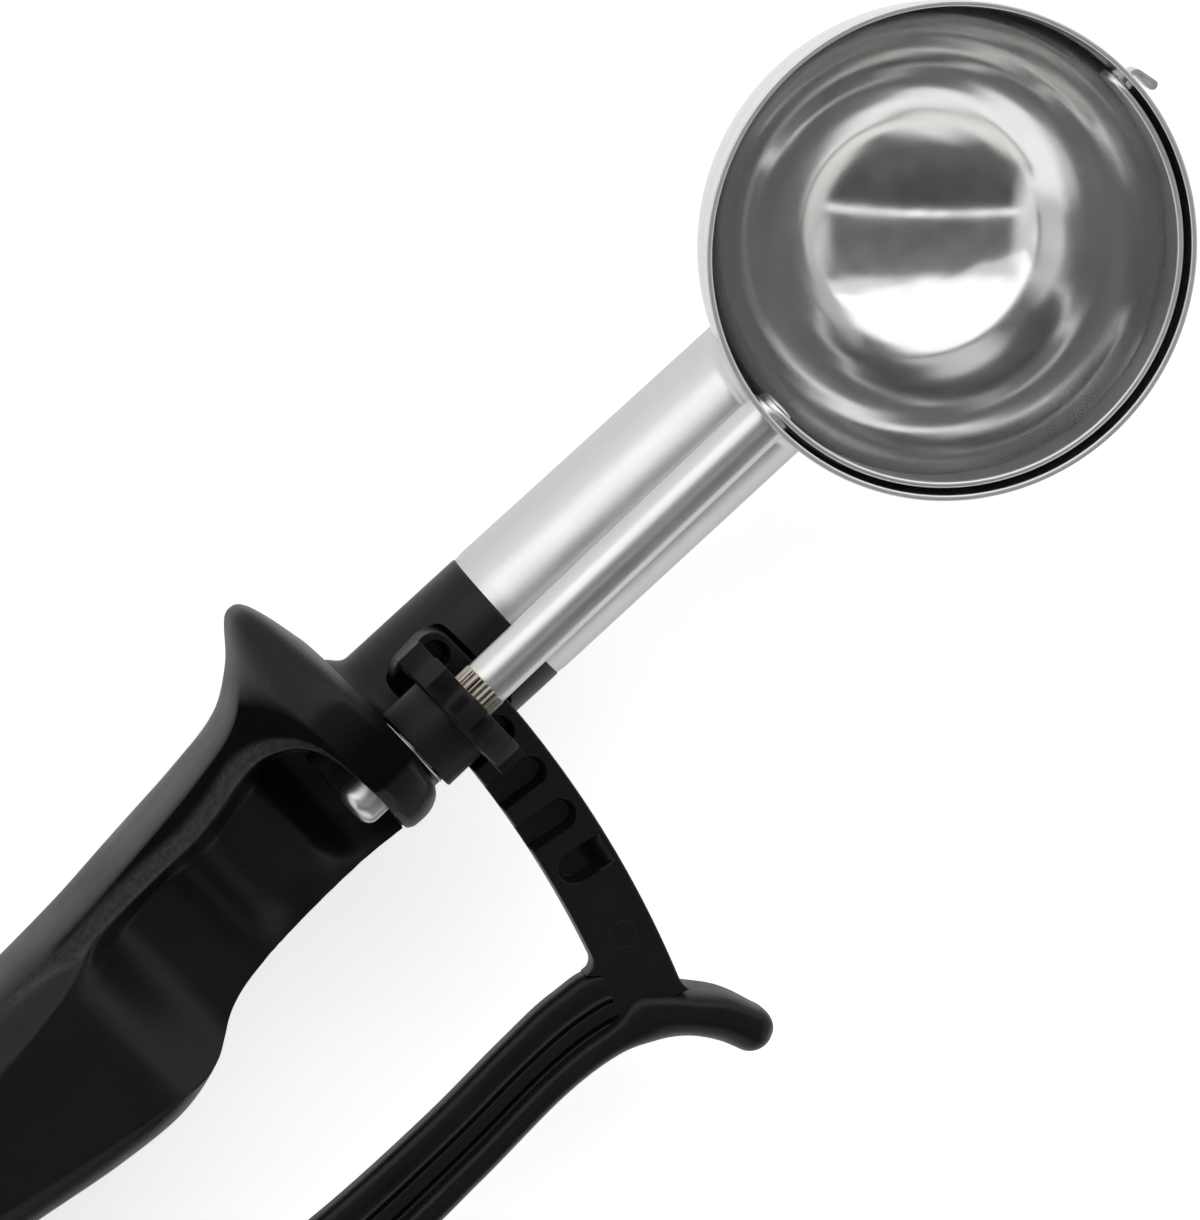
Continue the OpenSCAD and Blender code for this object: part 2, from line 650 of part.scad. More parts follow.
// Room for the spring's legs: one along the lever, one out of the back of the eye
module leg_way() {
    room = wire_d + 4 * leg_fit;
    translate([-pin_d / 2, 0, coil_z - wire_d])
        cube([pin_d / 2 + 3 * eye_r, 3 * eye_r, coil_turns * coil_pitch + 2 * wire_d]);
    translate(coil_point(coil_turns))
        rotate([0, 0, lever_angle])
            translate([-1, -room / 2, -room / 2]) cube([moving_leg + 2, room, room]);
}
function arc(r, a0, a1, n) = [for (i = [0 : n]) let (a = mix(a0, a1, i / n)) [r * cos(a), r * sin(a)]];
function lead_angle(s) = s / rack_r * 180 / PI;
module rack() {
    corner_in = lead_angle(rack_lead - rack_corner);
    translate([0, 0, rack_low])
    linear_extrude(rack_top - rack_low) {
        polygon(concat(arc(rack_in, rack_root, corner_in, 40),
                       reversed(arc(rack_out, rack_root, corner_in, 40))));
        polygon(concat(arc(rack_in + rack_corner, corner_in, lead_angle(rack_lead), 3),
                       reversed(arc(rack_out - rack_corner, corner_in, lead_angle(rack_lead), 3))));
        for (r = [rack_in + rack_corner, rack_out - rack_corner])
            rotate(corner_in) translate([r, 0]) circle(r = rack_corner);
    }
}
// Slot k along the rack: open to its inner edge, except the last, which opens outwards as a stop
module rack_slot(k) {
    s = tooth_phase / 360 * 2 * PI * pitch_r + k * tooth_pitch;
    depth = rack_top - slot_floor_z + 0.1;
    low = slot_floor_w / 2;
    high = slot_w / 2;
    last = k == slots - 1;
    from = last ? rack_in + stop_wall + high : rack_in - 1;
    to = last ? rack_out + 1 : rack_out - slot_wall - high;
    rotate([0, 0, -lead_angle(s)])
    translate([0, 0, slot_floor_z]) {
        translate([from, 0, 0]) rotate([90, 0, 90])
            linear_extrude(to - from)
                polygon([[-low, 0], [low, 0], [high, depth], [-high, depth]]);
        translate([last ? from : to, 0, 0]) cylinder(h = depth, d1 = slot_floor_w, d2 = slot_w);
    }
}
// Recess in the rack's free end, open to its inner edge
module end_recess() {
    rotate([0, 0, lead_angle(rack_lead - recess_wall - recess_w)])
        translate([rack_in - 1, 0, slot_floor_z])
            cube([rack_w + 1 - recess_wall, recess_w, rack_top]);
}

bowl();
neck_tube();
handle();
thrust_washer();
pivot_pin();
pivot_clip();
return_spring();
lever();
pinion();
blade_shaft();
scraper_blade();
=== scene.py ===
import bpy
import numpy as np
from mathutils import Matrix, Vector


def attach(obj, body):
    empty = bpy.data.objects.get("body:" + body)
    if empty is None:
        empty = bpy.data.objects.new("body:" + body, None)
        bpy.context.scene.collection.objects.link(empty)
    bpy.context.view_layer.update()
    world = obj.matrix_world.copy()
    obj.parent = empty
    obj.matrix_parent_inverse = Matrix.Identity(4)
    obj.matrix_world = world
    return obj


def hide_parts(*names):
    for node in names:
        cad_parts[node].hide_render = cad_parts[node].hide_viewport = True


# Lever ice cream scoop. Shapes are worked out in millimetres and written to the meshes in metres.
# X runs along the shaft to the bowl, Z is up and Z = 0 is the table.
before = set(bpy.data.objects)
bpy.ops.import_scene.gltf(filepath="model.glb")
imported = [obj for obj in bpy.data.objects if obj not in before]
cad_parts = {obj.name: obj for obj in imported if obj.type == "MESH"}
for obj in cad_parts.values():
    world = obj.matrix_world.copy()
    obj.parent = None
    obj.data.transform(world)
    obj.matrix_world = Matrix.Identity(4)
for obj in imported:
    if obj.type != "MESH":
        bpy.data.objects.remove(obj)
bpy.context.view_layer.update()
print("frame loaded,", len(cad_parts), "parts")

places = {
    "pivotX": -62.0,  # the lever's pivot
    "axisZ": 25.4,  # height of the blade shaft
    "bowlX": 112.8,  # middle of the bowl
    "pinionX": 45.8,  # middle of the pinion's teeth
    "neckZ": 10.6,  # height of the neck's axis under the pinion
    "neckSlope": 4.2,  # degrees up towards the bowl
}
pivotAt = (places["pivotX"], 0, 0)
shaftAt = (0, 0, places["axisZ"])
bowlAt = (places["bowlX"], 0, places["axisZ"])


def skin(points, ring=False):
    # Grid of points, rows along and columns around. Columns close on themselves, and rows close if ring,
    # or else a fan caps each end
    rows, columns = points.shape[:2]
    index = np.arange(rows * columns).reshape(rows, columns)
    near = index if ring else index[:-1]
    far = np.roll(index, -1, axis=0) if ring else index[1:]
    quads = np.stack([near, np.roll(near, -1, 1), np.roll(far, -1, 1), far], axis=-1).reshape(-1, 4)
    flat = points.reshape(-1, 3)
    fans = np.zeros((0, 3), int)
    if not ring:
        flat = np.vstack([flat, points[0].mean(0), points[-1].mean(0)])
        first, last, tip = index[0], index[-1], np.full(columns, rows * columns)
        fans = np.vstack([np.stack([tip, np.roll(first, -1), first], axis=-1),
                          np.stack([tip + 1, last, np.roll(last, -1)], axis=-1)])
    # Faces that point inwards give a volume below zero, and are turned round
    volume = 0
    for faces in (quads[:, :3], quads[:, [0, 2, 3]], fans):
        a, b, c = np.moveaxis(flat[faces], 1, 0)
        volume += np.einsum("ij,ij->", a, np.cross(b, c))
    if volume < 0:
        quads, fans = quads[:, ::-1], fans[:, ::-1]
    return flat, quads, fans


def smooth(mesh, sharp):
    # Smooth but for edges over the sharp angle, in degrees
    mesh.polygons.foreach_set("use_smooth", np.ones(len(mesh.polygons), bool))
    mesh.set_sharp_from_angle(angle=np.radians(sharp))


def addPiece(name, skins, material, body="frame", stands=(), sharp=40):
    # Joins skins into one mesh, in metres, which rides on body and takes the place of the nodes in stands
    points, faces, start = [], [], 0
    for flat, quads, fans in skins:
        points.append(flat)
        faces += (quads + start).tolist() + (fans + start).tolist()
        start += len(flat)
    mesh = bpy.data.meshes.new(name)
    mesh.from_pydata((np.vstack(points) * 0.001).tolist(), [], faces)
    smooth(mesh, sharp)
    mesh.materials.append(material)
    piece = bpy.data.objects.new(name, mesh)
    bpy.context.scene.collection.objects.link(piece)
    if body:
        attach(piece, body)
        if stands:
            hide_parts(*stands)
    return piece


def addCutter(name, points, material):
    # A skin to cut with, in the material of the faces that it leaves
    return addPiece(name, [skin(points)], material, body=None)


def cutWith(piece, cutters, sharp):
    # Cuts the pieces in cutters out of piece, and removes them
    for cutter in cutters:
        step = piece.modifiers.new(cutter.name, "BOOLEAN")
        step.operation, step.solver, step.object = "DIFFERENCE", "MANIFOLD", cutter
    graph = bpy.context.evaluated_depsgraph_get()
    mesh = bpy.data.meshes.new_from_object(piece.evaluated_get(graph), depsgraph=graph)
    piece.modifiers.clear()
    piece.data = mesh
    smooth(mesh, sharp)
    for cutter in cutters:
        bpy.data.objects.remove(cutter)
    print(piece.name, "has", len(mesh.polygons), "faces after the cut")


def turned(profile, around, axis="x", at=(0, 0, 0)):
    # Profile of (height, radius) pairs turned about the axis, x or z, through at
    height, radius = np.asarray(profile, float).T
    angle = np.linspace(0, 2 * np.pi, around, endpoint=False)
    h = np.repeat(height[:, None], around, 1)
    a, b = radius[:, None] * np.cos(angle), radius[:, None] * np.sin(angle)
    return np.stack((h, a, b) if axis == "x" else (a, b, h), axis=-1) + at


def rounded(corners, radius, steps=7):
    # Open outline through corners (x, y), each inner corner replaced by a curve that starts and ends at
    # most radius away from it
    p = np.asarray(corners, float)
    radius = np.broadcast_to(radius, len(p))
    out = [p[:1]]
    for before, here, after, r in zip(p[:-2], p[1:-1], p[2:], radius[1:-1]):
        a, b = before - here, after - here
        r = min(r, 0.49 * np.linalg.norm(a), 0.49 * np.linalg.norm(b))
        a, b = here + r * a / np.linalg.norm(a), here + r * b / np.linalg.norm(b)
        t = np.linspace(0, 1, steps)[:, None]
        out.append((1 - t) ** 2 * a + 2 * t * (1 - t) * here + t ** 2 * b)
    return np.vstack(out + [p[-1:]])


def spaced(outline, step):
    # The outline with extra points so that none lie more than step apart
    lengths = np.linalg.norm(np.diff(outline, axis=0), axis=1)
    along = np.concatenate([[0], np.cumsum(lengths)])
    count = max(2, int(np.ceil(along[-1] / step)) + 1)
    where = np.unique(np.concatenate([along, np.linspace(0, along[-1], count)]))
    return np.stack([np.interp(where, along, line) for line in outline.T], axis=-1)


def prism(outline, low, high):
    # Closed outline (x, y) carried straight up from low to high
    return np.stack([np.column_stack([outline, np.full(len(outline), z)]) for z in (low, high)])


def ease(t):
    t = np.clip(t, 0, 1)
    return t * t * (3 - 2 * t)


def mix(a, b, t):
    return a + (b - a) * t


def hermite(u, start, leave, end, arrive):
    # Cubic from start to end while u goes from 0 to 1, with the slopes leave and arrive
    s, c = u * u, u ** 3
    return (2 * c - 3 * s + 1) * start + (c - 2 * s + u) * leave + (3 * s - 2 * c) * end + (c - s) * arrive


def curveAt(points, x):
    # Hermite curve through (x, value) pairs, its slope at each the slope between the neighbours
    p = np.asarray(points, float)
    k = np.arange(len(p))
    ahead, behind = p[np.minimum(k + 1, len(p) - 1)], p[np.maximum(k - 1, 0)]
    slope = (ahead[:, 1] - behind[:, 1]) / (ahead[:, 0] - behind[:, 0])
    i = np.clip(np.searchsorted(p[:, 0], x, side="right") - 1, 0, len(p) - 2)
    h = p[i + 1, 0] - p[i, 0]
    u = np.clip((x - p[i, 0]) / h, 0, 1)
    return hermite(u, p[i, 1], h * slope[i], p[i + 1, 1], h * slope[i + 1])


def pathAt(points, t):
    # Hermite path through points, its direction at each half the step between the neighbours
    p = np.asarray(points, float)
    k = np.arange(len(p))
    slope = (p[np.minimum(k + 1, len(p) - 1)] - p[np.maximum(k - 1, 0)]) / 2
    i = np.minimum(t.astype(int), len(p) - 2)
    return hermite((t - i)[:, None], p[i], slope[i], p[i + 1], slope[i + 1])


def hexColour(code):
    # sRGB hex to linear, as the shaders expect
    s = np.array([int(code[i:i + 2], 16) for i in (1, 3, 5)]) / 255
    return (*np.where(s <= 0.04045, s / 12.92, ((s + 0.055) / 1.055) ** 2.4), 1.0)


def fill(tree, node, inputs):
    # Sets the node's sockets, each to a value or to a link from another node's output
    for key, value in inputs.items():
        if isinstance(value, bpy.types.NodeSocket):
            tree.links.new(value, node.inputs[key])
        else:
            node.inputs[key].default_value = value


def addNode(tree, kind, settings=None, inputs=None):
    # Adds a shader node, sets its properties and fills its sockets
    node = tree.nodes.new("ShaderNode" + kind)
    for key, value in (settings or {}).items():
        setattr(node, key, value)
    fill(tree, node, inputs or {})
    return node


def newMaterial(name):
    # Material with one shader, and the piece's own coordinates for its patterns
    material = bpy.data.materials.new(name)
    material.use_nodes = True
    tree = material.node_tree
    tree.nodes.clear()
    shader = addNode(tree, "BsdfPrincipled")
    addNode(tree, "OutputMaterial", inputs={"Surface": shader.outputs[0]})
    place = addNode(tree, "TexCoord")
    return material, tree, shader, place.outputs["Object"]


# Glass-filled nylon from an eroded mould: near black, a fine pebbled grain that breaks up soft highlights.
# Pebbles lie twice grain apart, in mm, coarser than real ones so that they show, and sheen wanders over 9 mm
def mouldedNylon(name, colour="#0c0c0d", grain=0.3, depth=0.05, gloss=0.35, finish=None):
    material, tree, shader, place = newMaterial(name)
    pebble = addNode(tree, "TexNoise", inputs={
        "Vector": place, "Scale": 1000 / grain / 2, "Detail": 3.0, "Roughness": 0.6})
    wander = addNode(tree, "TexNoise", inputs={
        "Vector": place, "Scale": 1000 / 9.0, "Detail": 3.0, "Roughness": 0.55})
    sheen = addNode(tree, "MapRange", inputs={
        "Value": wander.outputs["Fac"], "From Min": 0.3, "From Max": 0.7,
        "To Min": gloss - 0.05, "To Max": gloss + 0.07})
    bump = addNode(tree, "Bump", inputs={
        "Height": pebble.outputs["Fac"], "Distance": depth * 0.001, "Strength": 1.0})
    tint = addNode(tree, "Mix", {"data_type": "RGBA"}, {
        "Factor": wander.outputs["Fac"], "A": hexColour(colour), "B": hexColour("#131315")})
    specular = 0.22  # the fine texture takes most of the gloss
    fill(tree, shader, {"Roughness": sheen.outputs["Result"], "Normal": bump.outputs["Normal"], "IOR": 1.53,
                        "Specular IOR Level": specular})
    if finish:
        # The grain fades out down in the finger recess, which the mould leaves smooth
        height = addNode(tree, "SeparateXYZ", inputs={"Vector": place})
        fade = addNode(tree, "MapRange", inputs={
            "Value": height.outputs["Z"], "From Min": finish["smooth"] * 0.001,
            "From Max": finish["grained"] * 0.001, "To Min": 0.25, "To Max": 1.0})
        fill(tree, bump, {"Strength": fade.outputs["Result"]})
        # How far y lies past the recess's edge
        edge, rise = finish["edge"], finish["rise"]
        start, span = edge[0][0], edge[-1][0] - edge[0][0]
        along = addNode(tree, "MapRange", inputs={
            "Value": height.outputs["X"], "From Min": (start + places["pivotX"]) * 0.001,
            "From Max": (start + span + places["pivotX"]) * 0.001})
        line = addNode(tree, "FloatCurve", inputs={"Value": along.outputs["Result"]})
        points = line.mapping.curves[0].points
        points[0].location, points[1].location = (0, edge[0][1] / rise), (1, edge[-1][1] / rise)
        for x, y in edge[1:-1]:
            points.new((x - start) / span, y / rise)
        line.mapping.update()
        past = addNode(tree, "Math", {"operation": "MULTIPLY_ADD"}, {
            0: line.outputs["Value"], 1: -rise * 0.001, 2: height.outputs["Y"]})
        ways = {"past": (past.outputs["Value"], 0, "SMOOTHSTEP"), "up": (height.outputs["Z"], 0, "LINEAR"),
                "along": (height.outputs["X"], places["pivotX"], "SMOOTHSTEP")}

        def shareIn(limits):
            # The product of shares that rise from 0 to 1 between two places each
            share = 1.0
            for way, none, full in limits:
                value, origin, kind = ways[way]
                part = addNode(tree, "MapRange", {"interpolation_type": kind}, {
                    "Value": value, "From Min": (none + origin) * 0.001, "From Max": (full + origin) * 0.001})
                share = addNode(tree, "Math", {"operation": "MULTIPLY"}, {
                    0: part.outputs["Result"], 1: share}).outputs["Value"]
            return share

        # Painted highlight: beside the recess's edge the pebbles are painted pale grey as glints, blended in
        # over the pale band
        paintedGlints = addNode(tree, "Mix", {"data_type": "RGBA"}, {
            "Factor": pebble.outputs["Fac"], "A": hexColour("#171718"), "B": hexColour("#48484a")})
        tint = addNode(tree, "Mix", {"data_type": "RGBA"}, {
            "Factor": shareIn(finish["pale"]), "A": tint.outputs["Result"], "B": paintedGlints.outputs["Result"]})
        shine = addNode(tree, "MapRange", inputs={
            "Value": shareIn(finish["dull"]), "To Min": specular, "To Max": 0.0})
        fill(tree, shader, {"Specular IOR Level": shine.outputs["Result"]})
    fill(tree, shader, {"Base Color": tint.outputs["Result"]})
    return material


# Stainless steel: a cool pale grey metal; polishing leaves faint cloudy haze, over 6 mm, and hairline
# scratches, drawn 0.7 mm apart so that they show
def stainless(name, colour, gloss, haze=0.05, run=(1, 1, 1), groundAbove=None):
    material, tree, shader, place = newMaterial(name)
    scratch = 0.35  # how much the hairlines count beside the haze
    cloud = addNode(tree, "TexNoise", inputs={
        "Vector": place, "Scale": 1000 / 6.0, "Detail": 4.0, "Roughness": 0.6})
    stretch = addNode(tree, "Mapping", inputs={"Vector": place, "Scale": run})
    hair = addNode(tree, "TexNoise", inputs={
        "Vector": stretch.outputs["Vector"], "Scale": 1000 / 0.7, "Detail": 2.0, "Roughness": 0.7})
    both = addNode(tree, "Math", {"operation": "MULTIPLY_ADD"}, {
        0: hair.outputs["Fac"], 1: scratch, 2: cloud.outputs["Fac"]})
    rough = addNode(tree, "MapRange", inputs={
        "Value": both.outputs["Value"], "From Min": 0.3 + scratch * 0.3, "From Max": 0.7 + scratch * 0.7,
        "To Min": gloss - haze, "To Max": gloss + haze})
    if groundAbove:
        # The cut edge is ground, so it is duller than the rest
        height = addNode(tree, "SeparateXYZ", inputs={"Vector": place})
        dull = addNode(tree, "MapRange", inputs={
            "Value": height.outputs["Z"], "From Min": groundAbove * 0.001,
            "From Max": (groundAbove + 0.1) * 0.001, "To Min": 0.0, "To Max": 0.3})
        rough = addNode(tree, "Math", {"operation": "ADD"}, {
            0: rough.outputs["Result"], 1: dull.outputs["Result"]})
    bump = addNode(tree, "Bump", inputs={
        "Height": hair.outputs["Fac"], "Distance": 0.0000012, "Strength": 1.0})
    fill(tree, shader, {"Metallic": 1.0, "Base Color": hexColour(colour), "Roughness": rough.outputs[0],
                        "Normal": bump.outputs["Normal"]})
    return material


# Rolled splines: dull steel with a straw tint, with painted shade in the grooves, so that the ridges stand
# out. The line between the painted shade and the bright ridges is made ragged by noise, over 0.8 mm
def splinedSteel(name, axisZ, valley, ridge, ragged):
    material, tree, shader, place = newMaterial(name)
    local = addNode(tree, "Mapping", inputs={
        "Vector": place, "Location": (0, 0, -axisZ * 0.001), "Scale": (0, 1, 1)})
    away = addNode(tree, "VectorMath", {"operation": "LENGTH"}, {0: local.outputs["Vector"]})
    raggedNoise = addNode(tree, "TexNoise", inputs={"Vector": place, "Scale": 1000 / 0.8, "Detail": 2.0})
    uneven = addNode(tree, "Math", {"operation": "MULTIPLY_ADD"}, {
        0: raggedNoise.outputs["Fac"], 1: ragged * 0.001, 2: away.outputs["Value"]})
    share = addNode(tree, "MapRange", inputs={
        "Value": uneven.outputs["Value"], "From Min": (valley + ragged / 2) * 0.001,
        "From Max": (ridge + ragged / 2) * 0.001})
    # Painted shade: dark brown in the grooves, pale on the ridges
    tint = addNode(tree, "Mix", {"data_type": "RGBA"}, {
        "Factor": share.outputs["Result"], "A": hexColour("#2f2a24"), "B": hexColour("#bcb4a6")})
    fill(tree, shader, {"Metallic": 1.0, "Roughness": 0.38, "Base Color": tint.outputs["Result"]})
    return material


# The recess's edge on the crown: x from the pivot and y
recessEdge = [[-12, 5], [20, 7.6], [45, 8.8], [54, 8.9], [60, 8.6], [62.5, 8.1], [65, 8.2], [69.5, 8.55],
              [74, 8.8], [79, 9.0], [81.5, 9.3], [84, 9.75], [86, 10.2], [87.8, 10.5], [89.4, 10.6],
              [91, 10.4], [92.6, 9.75], [93.9, 8.5], [94.65, 7.0], [95.05, 5.4], [95.3, 3.8], [95.6, 0.5]]
# Where the handle's mould is smooth or grained, by height. Beside the recess's edge lies a paler band of
# painted glints on the pebbles, a painted highlight along the ridge, with a duller zone round it, which
# leaves the shine to the back. Each limit is a way to measure, the place where its share is none, and the
# place where it is full
handleFinishAndPaintedGlints = {
    "smooth": 21.5, "grained": 24.5, "edge": recessEdge, "rise": 12.0,  # rise is the y that the curve calls 1
    "pale": [("past", 1.8, 1.1), ("past", -0.6, 0.1), ("up", 19.5, 21.0), ("along", 49, 58),
             ("along", 96.0, 94.6)],
    "dull": [("past", -0.3, 0.6), ("past", 9.5, 4.5), ("up", 19.5, 21.0)],
}
handleNylon = mouldedNylon("handle moulded nylon", finish=handleFinishAndPaintedGlints)
leverNylon = mouldedNylon("lever moulded nylon")
gearNylon = mouldedNylon("pinion moulded nylon", colour="#0e0e0f", grain=0.4, depth=0.006, gloss=0.46)
bowlSteel = stainless("bowl polished steel", colour="#e3e3e2", gloss=0.12, haze=0.03, groundAbove=28.72)
neckSteel = stainless("neck satin steel", colour="#dcdddd", gloss=0.34, run=(1, 6, 6))
shaftSteel = stainless("shaft drawn steel", colour="#dddddc", gloss=0.34, run=(0.15, 3, 3))
splineSteel = splinedSteel("rolled spline steel", places["axisZ"], valley=2.36, ridge=2.58, ragged=0.18)
bladeSteel = stainless("blade spring steel", colour="#e4e4e2", gloss=0.36)
wireSteel = stainless("spring wire", colour="#b9babc", gloss=0.25)
print("materials made")

grip = {
    "rear": -12, "front": 101.2,  # x from the pivot
    "along": 300,
    "columns": (56, 25, 64, 120),  # over the back, down the slope, over the floor, underneath
    "power": 2.6,  # 2 is an ellipse, more is squarer
    "ramp": 3.2,  # width of the slope from the rim down into the recess
    "corner": 1.8, "cornerFrom": 17.5,  # rounding of the front block's open corners, above that height
    "hornTaper": 0.42, "hornFrom": 10, "hornRun": 11,
    "wall": 95.6,  # the recess ends at the wall that carries the shaft
    "wallRows": [95.4, 95.55, 95.65, 95.8],  # more sections about the wall
    "openEdge": [[-12, 0.5], [-11.2, -3.4], [-9, -5.8], [-4, -7.4], [8, -7.5], [20, -7.6], [32, -8.9],
                 [43, -10.8], [52, -12.3], [60, -12.8], [66, -11.3], [71, -8.4], [76, -7.2], [82, -6.4],
                 [90, -6.3], [96, -6.8], [98.4, -6.8], [99.9, -6.1], [100.8, -4.9], [101.2, -3.6]],
    "back": [[-12, 4.0], [-11.2, 6.4], [-9, 8.2], [-4, 9.4], [8, 9.9], [40, 9.8], [64, 10.4],
             [76, 11.4], [84, 12.4], [90, 13.9], [94, 17.2], [97, 21.0], [98.4, 21.4], [99.4, 20.5],
             [100.3, 17.8], [101.2, 13.5]],
    "recess": recessEdge,
    "lip": 2.4, "lipDrop": 1.25,  # the crown rounds down to the rim over this width by this much
    "lipEnd": 96.6, "lipRun": 1.2,
    "crown": [[-12, 19], [-10.5, 22.5], [-7, 25], [0, 26.4], [20, 27.4], [45, 28.4], [70, 29.4], [90, 30.6],
              [96, 31.4], [99.8, 31.4], [101.2, 30.4]],
    "under": [[-12, 6], [-10.5, 2.8], [-7, 0.8], [-2, -1], [8, -1.6], [62, -1.6], [76, -1.2], [86, 0.2],
              [95, 1.8], [101.2, 3.4]],
    "floor": [[-12, 26], [40, 26.0], [58, 25.4], [62, 24.2], [67.5, 18.8], [72, 17.6], [76.5, 17.8],
              [80, 20.2], [82, 20.9], [87.5, 20.6], [89.5, 18.6], [91, 17.4], [96, 17.2]],
    "floorOpen": [[-12, 26], [40, 26.0], [58, 25.4], [62, 24.2], [67.5, 18.8], [72, 17.8], [76.5, 18.1],
                  [80, 19.6], [83, 20.2], [88, 19.8], [92, 19.2], [96, 18.8]],
    "floorRun": 5,  # width in which the floor goes from one to the other
}


def gripSkin(g):
    # Each section is a rounded box: the share of the half width to the power p plus the share of the half
    # height to the power p is 1. The upper columns are placed by y, so that one of them follows the
    # recess's rim, and past it z drops to the floor
    u = np.linspace(0, 1, g["along"])
    dense = u - 0.45 * np.sin(4 * np.pi * (u - 0.08)) / (4 * np.pi)
    dense = (dense - dense[0]) / (dense[-1] - dense[0])
    x = mix(g["rear"], g["front"], (0.5 - 0.5 * np.cos(np.pi * dense)) ** 0.9)
    x[0], x[-1] = g["rear"], g["front"]
    x = np.sort(np.concatenate([x, g["wallRows"]]))[:, None]
    low, high = curveAt(g["openEdge"], x), curveAt(g["back"], x)
    top, base = curveAt(g["crown"], x), curveAt(g["under"], x)
    wide, between, middle = high - low, (low + high) / 2, (top + base) / 2
    rim = np.clip(curveAt(g["recess"], x), low + 0.15 * wide, high - 0.06 * wide)
    ramp = np.minimum(g["ramp"], 0.6 * (rim - low))
    quarter = np.pi / 2
    back = 1 - np.cos(quarter * np.linspace(0, 1, g["columns"][0])[:-1])
    slope = np.linspace(0, 1, g["columns"][1])[:-1] ** 1.4
    flat = np.sin(quarter * np.linspace(0, 1, g["columns"][2]))
    y = np.concatenate([high + (rim - high) * back, rim - ramp * slope,
                        (rim - ramp) + (low - rim + ramp) * flat], axis=1)
    share = np.clip((y - between) / (wide / 2), -1, 1)
    z = (1 - np.abs(share) ** g["power"]) ** (1 / g["power"])
    a = np.linspace(np.pi, 2 * np.pi, g["columns"][3])[None, 1:-1]
    bend = lambda v: np.sign(v) * np.abs(v) ** (2 / g["power"])
    y = np.concatenate([y, between + wide / 2 * bend(np.cos(a))], axis=1)
    z = np.concatenate([z, bend(np.sin(a)) + 0 * x], axis=1)
    z = middle + (top - base) / 2 * z * (1 - g["hornTaper"] * ease((y - g["hornFrom"]) / g["hornRun"]))
    edge = 1 - np.clip((y - rim) / g["lip"], 0, 1)
    z = z - np.where(z > middle, g["lipDrop"] * edge ** 2 * ease((g["lipEnd"] - x) / g["lipRun"]), 0)
    floor = mix(curveAt(g["floorOpen"], x), curveAt(g["floor"], x), ease((y - low) / g["floorRun"]))
    sunk = mix(z, np.minimum(z, floor), np.sin(quarter * np.clip((rim - y) / ramp, 0, 1)))
    z = np.where((z > middle) & (x < g["wall"]), sunk, z)
    gone = g["corner"] - np.clip(x - g["wall"], 0, g["corner"])
    inset = np.where(x < g["wall"], 0, g["corner"] - np.sqrt(g["corner"] ** 2 - gone ** 2))
    y = np.maximum(y, low + inset * ease((z - g["cornerFrom"]) / 2))
    return np.stack([x + places["pivotX"] + 0 * y, y, np.maximum(z, 0)], axis=-1)


def neckPlace(points):
    # From the neck's own (along, across, up), with along 0 under the pinion, to the scoop's
    slope = np.radians(places["neckSlope"])
    s, y, n = np.moveaxis(np.asarray(points, float), -1, 0)
    return np.stack([places["pinionX"] + s * np.cos(slope) - n * np.sin(slope), y,
                     places["neckZ"] + s * np.sin(slope) + n * np.cos(slope)], axis=-1)


handleBody = addPiece("handle_grip", [skin(gripSkin(grip))], handleNylon,
                      stands=["handle"], sharp=50)
sleeve = {"from": -14.0, "to": 10.2, "radius": 7.8, "edge": 0.25,
          "front": -6.7, "flare": 1.5, "flareRun": 2.6}
sleeveProfile = rounded([[sleeve["from"], 0.01], [sleeve["from"], sleeve["radius"]],
                         [sleeve["to"], sleeve["radius"]], [sleeve["to"], 0.01]], sleeve["edge"])
sleevePoints = turned(spaced(sleeveProfile, 0.3), 160)
# Fillet between the sleeve and the handle's front, on the back's side
spread = sleeve["flare"] * (1 - ease((sleevePoints[..., 0] - sleeve["front"]) / sleeve["flareRun"])) ** 2
spread = spread * ease(sleevePoints[..., 1] / 7 + 0.3)
sleevePoints[..., 1:] *= (1 + spread / sleeve["radius"])[..., None]
sleeveBody = addPiece("handle_sleeve", [skin(neckPlace(sleevePoints))], handleNylon)

# Room over the sleeve for the rack: a ring sector about the pivot, whose floor meets its walls in a
# quarter circle
rackRoom = {"low": 16.0, "inner": 104.3, "outer": 112.7, "round": 1.2, "turn": 12, "height": 20}
turn = np.radians(np.linspace(-rackRoom["turn"], rackRoom["turn"], 60))
rings = []
for tilt in np.linspace(0, np.pi / 2, 8):
    inset, rise = rackRoom["round"] * (1 - np.sin(tilt)), rackRoom["round"] * (1 - np.cos(tilt))
    rings.append(np.vstack([
        np.column_stack([places["pivotX"] + r * np.cos(t), r * np.sin(t), 0 * t + rackRoom["low"] + rise])
        for r, t in ((rackRoom["inner"] + inset, turn), (rackRoom["outer"] - inset, turn[::-1]))]))
rings.append(rings[-1] + [0, 0, rackRoom["height"]])
cutWith(sleeveBody, [addCutter("room", np.stack(rings), handleNylon)], sharp=30)

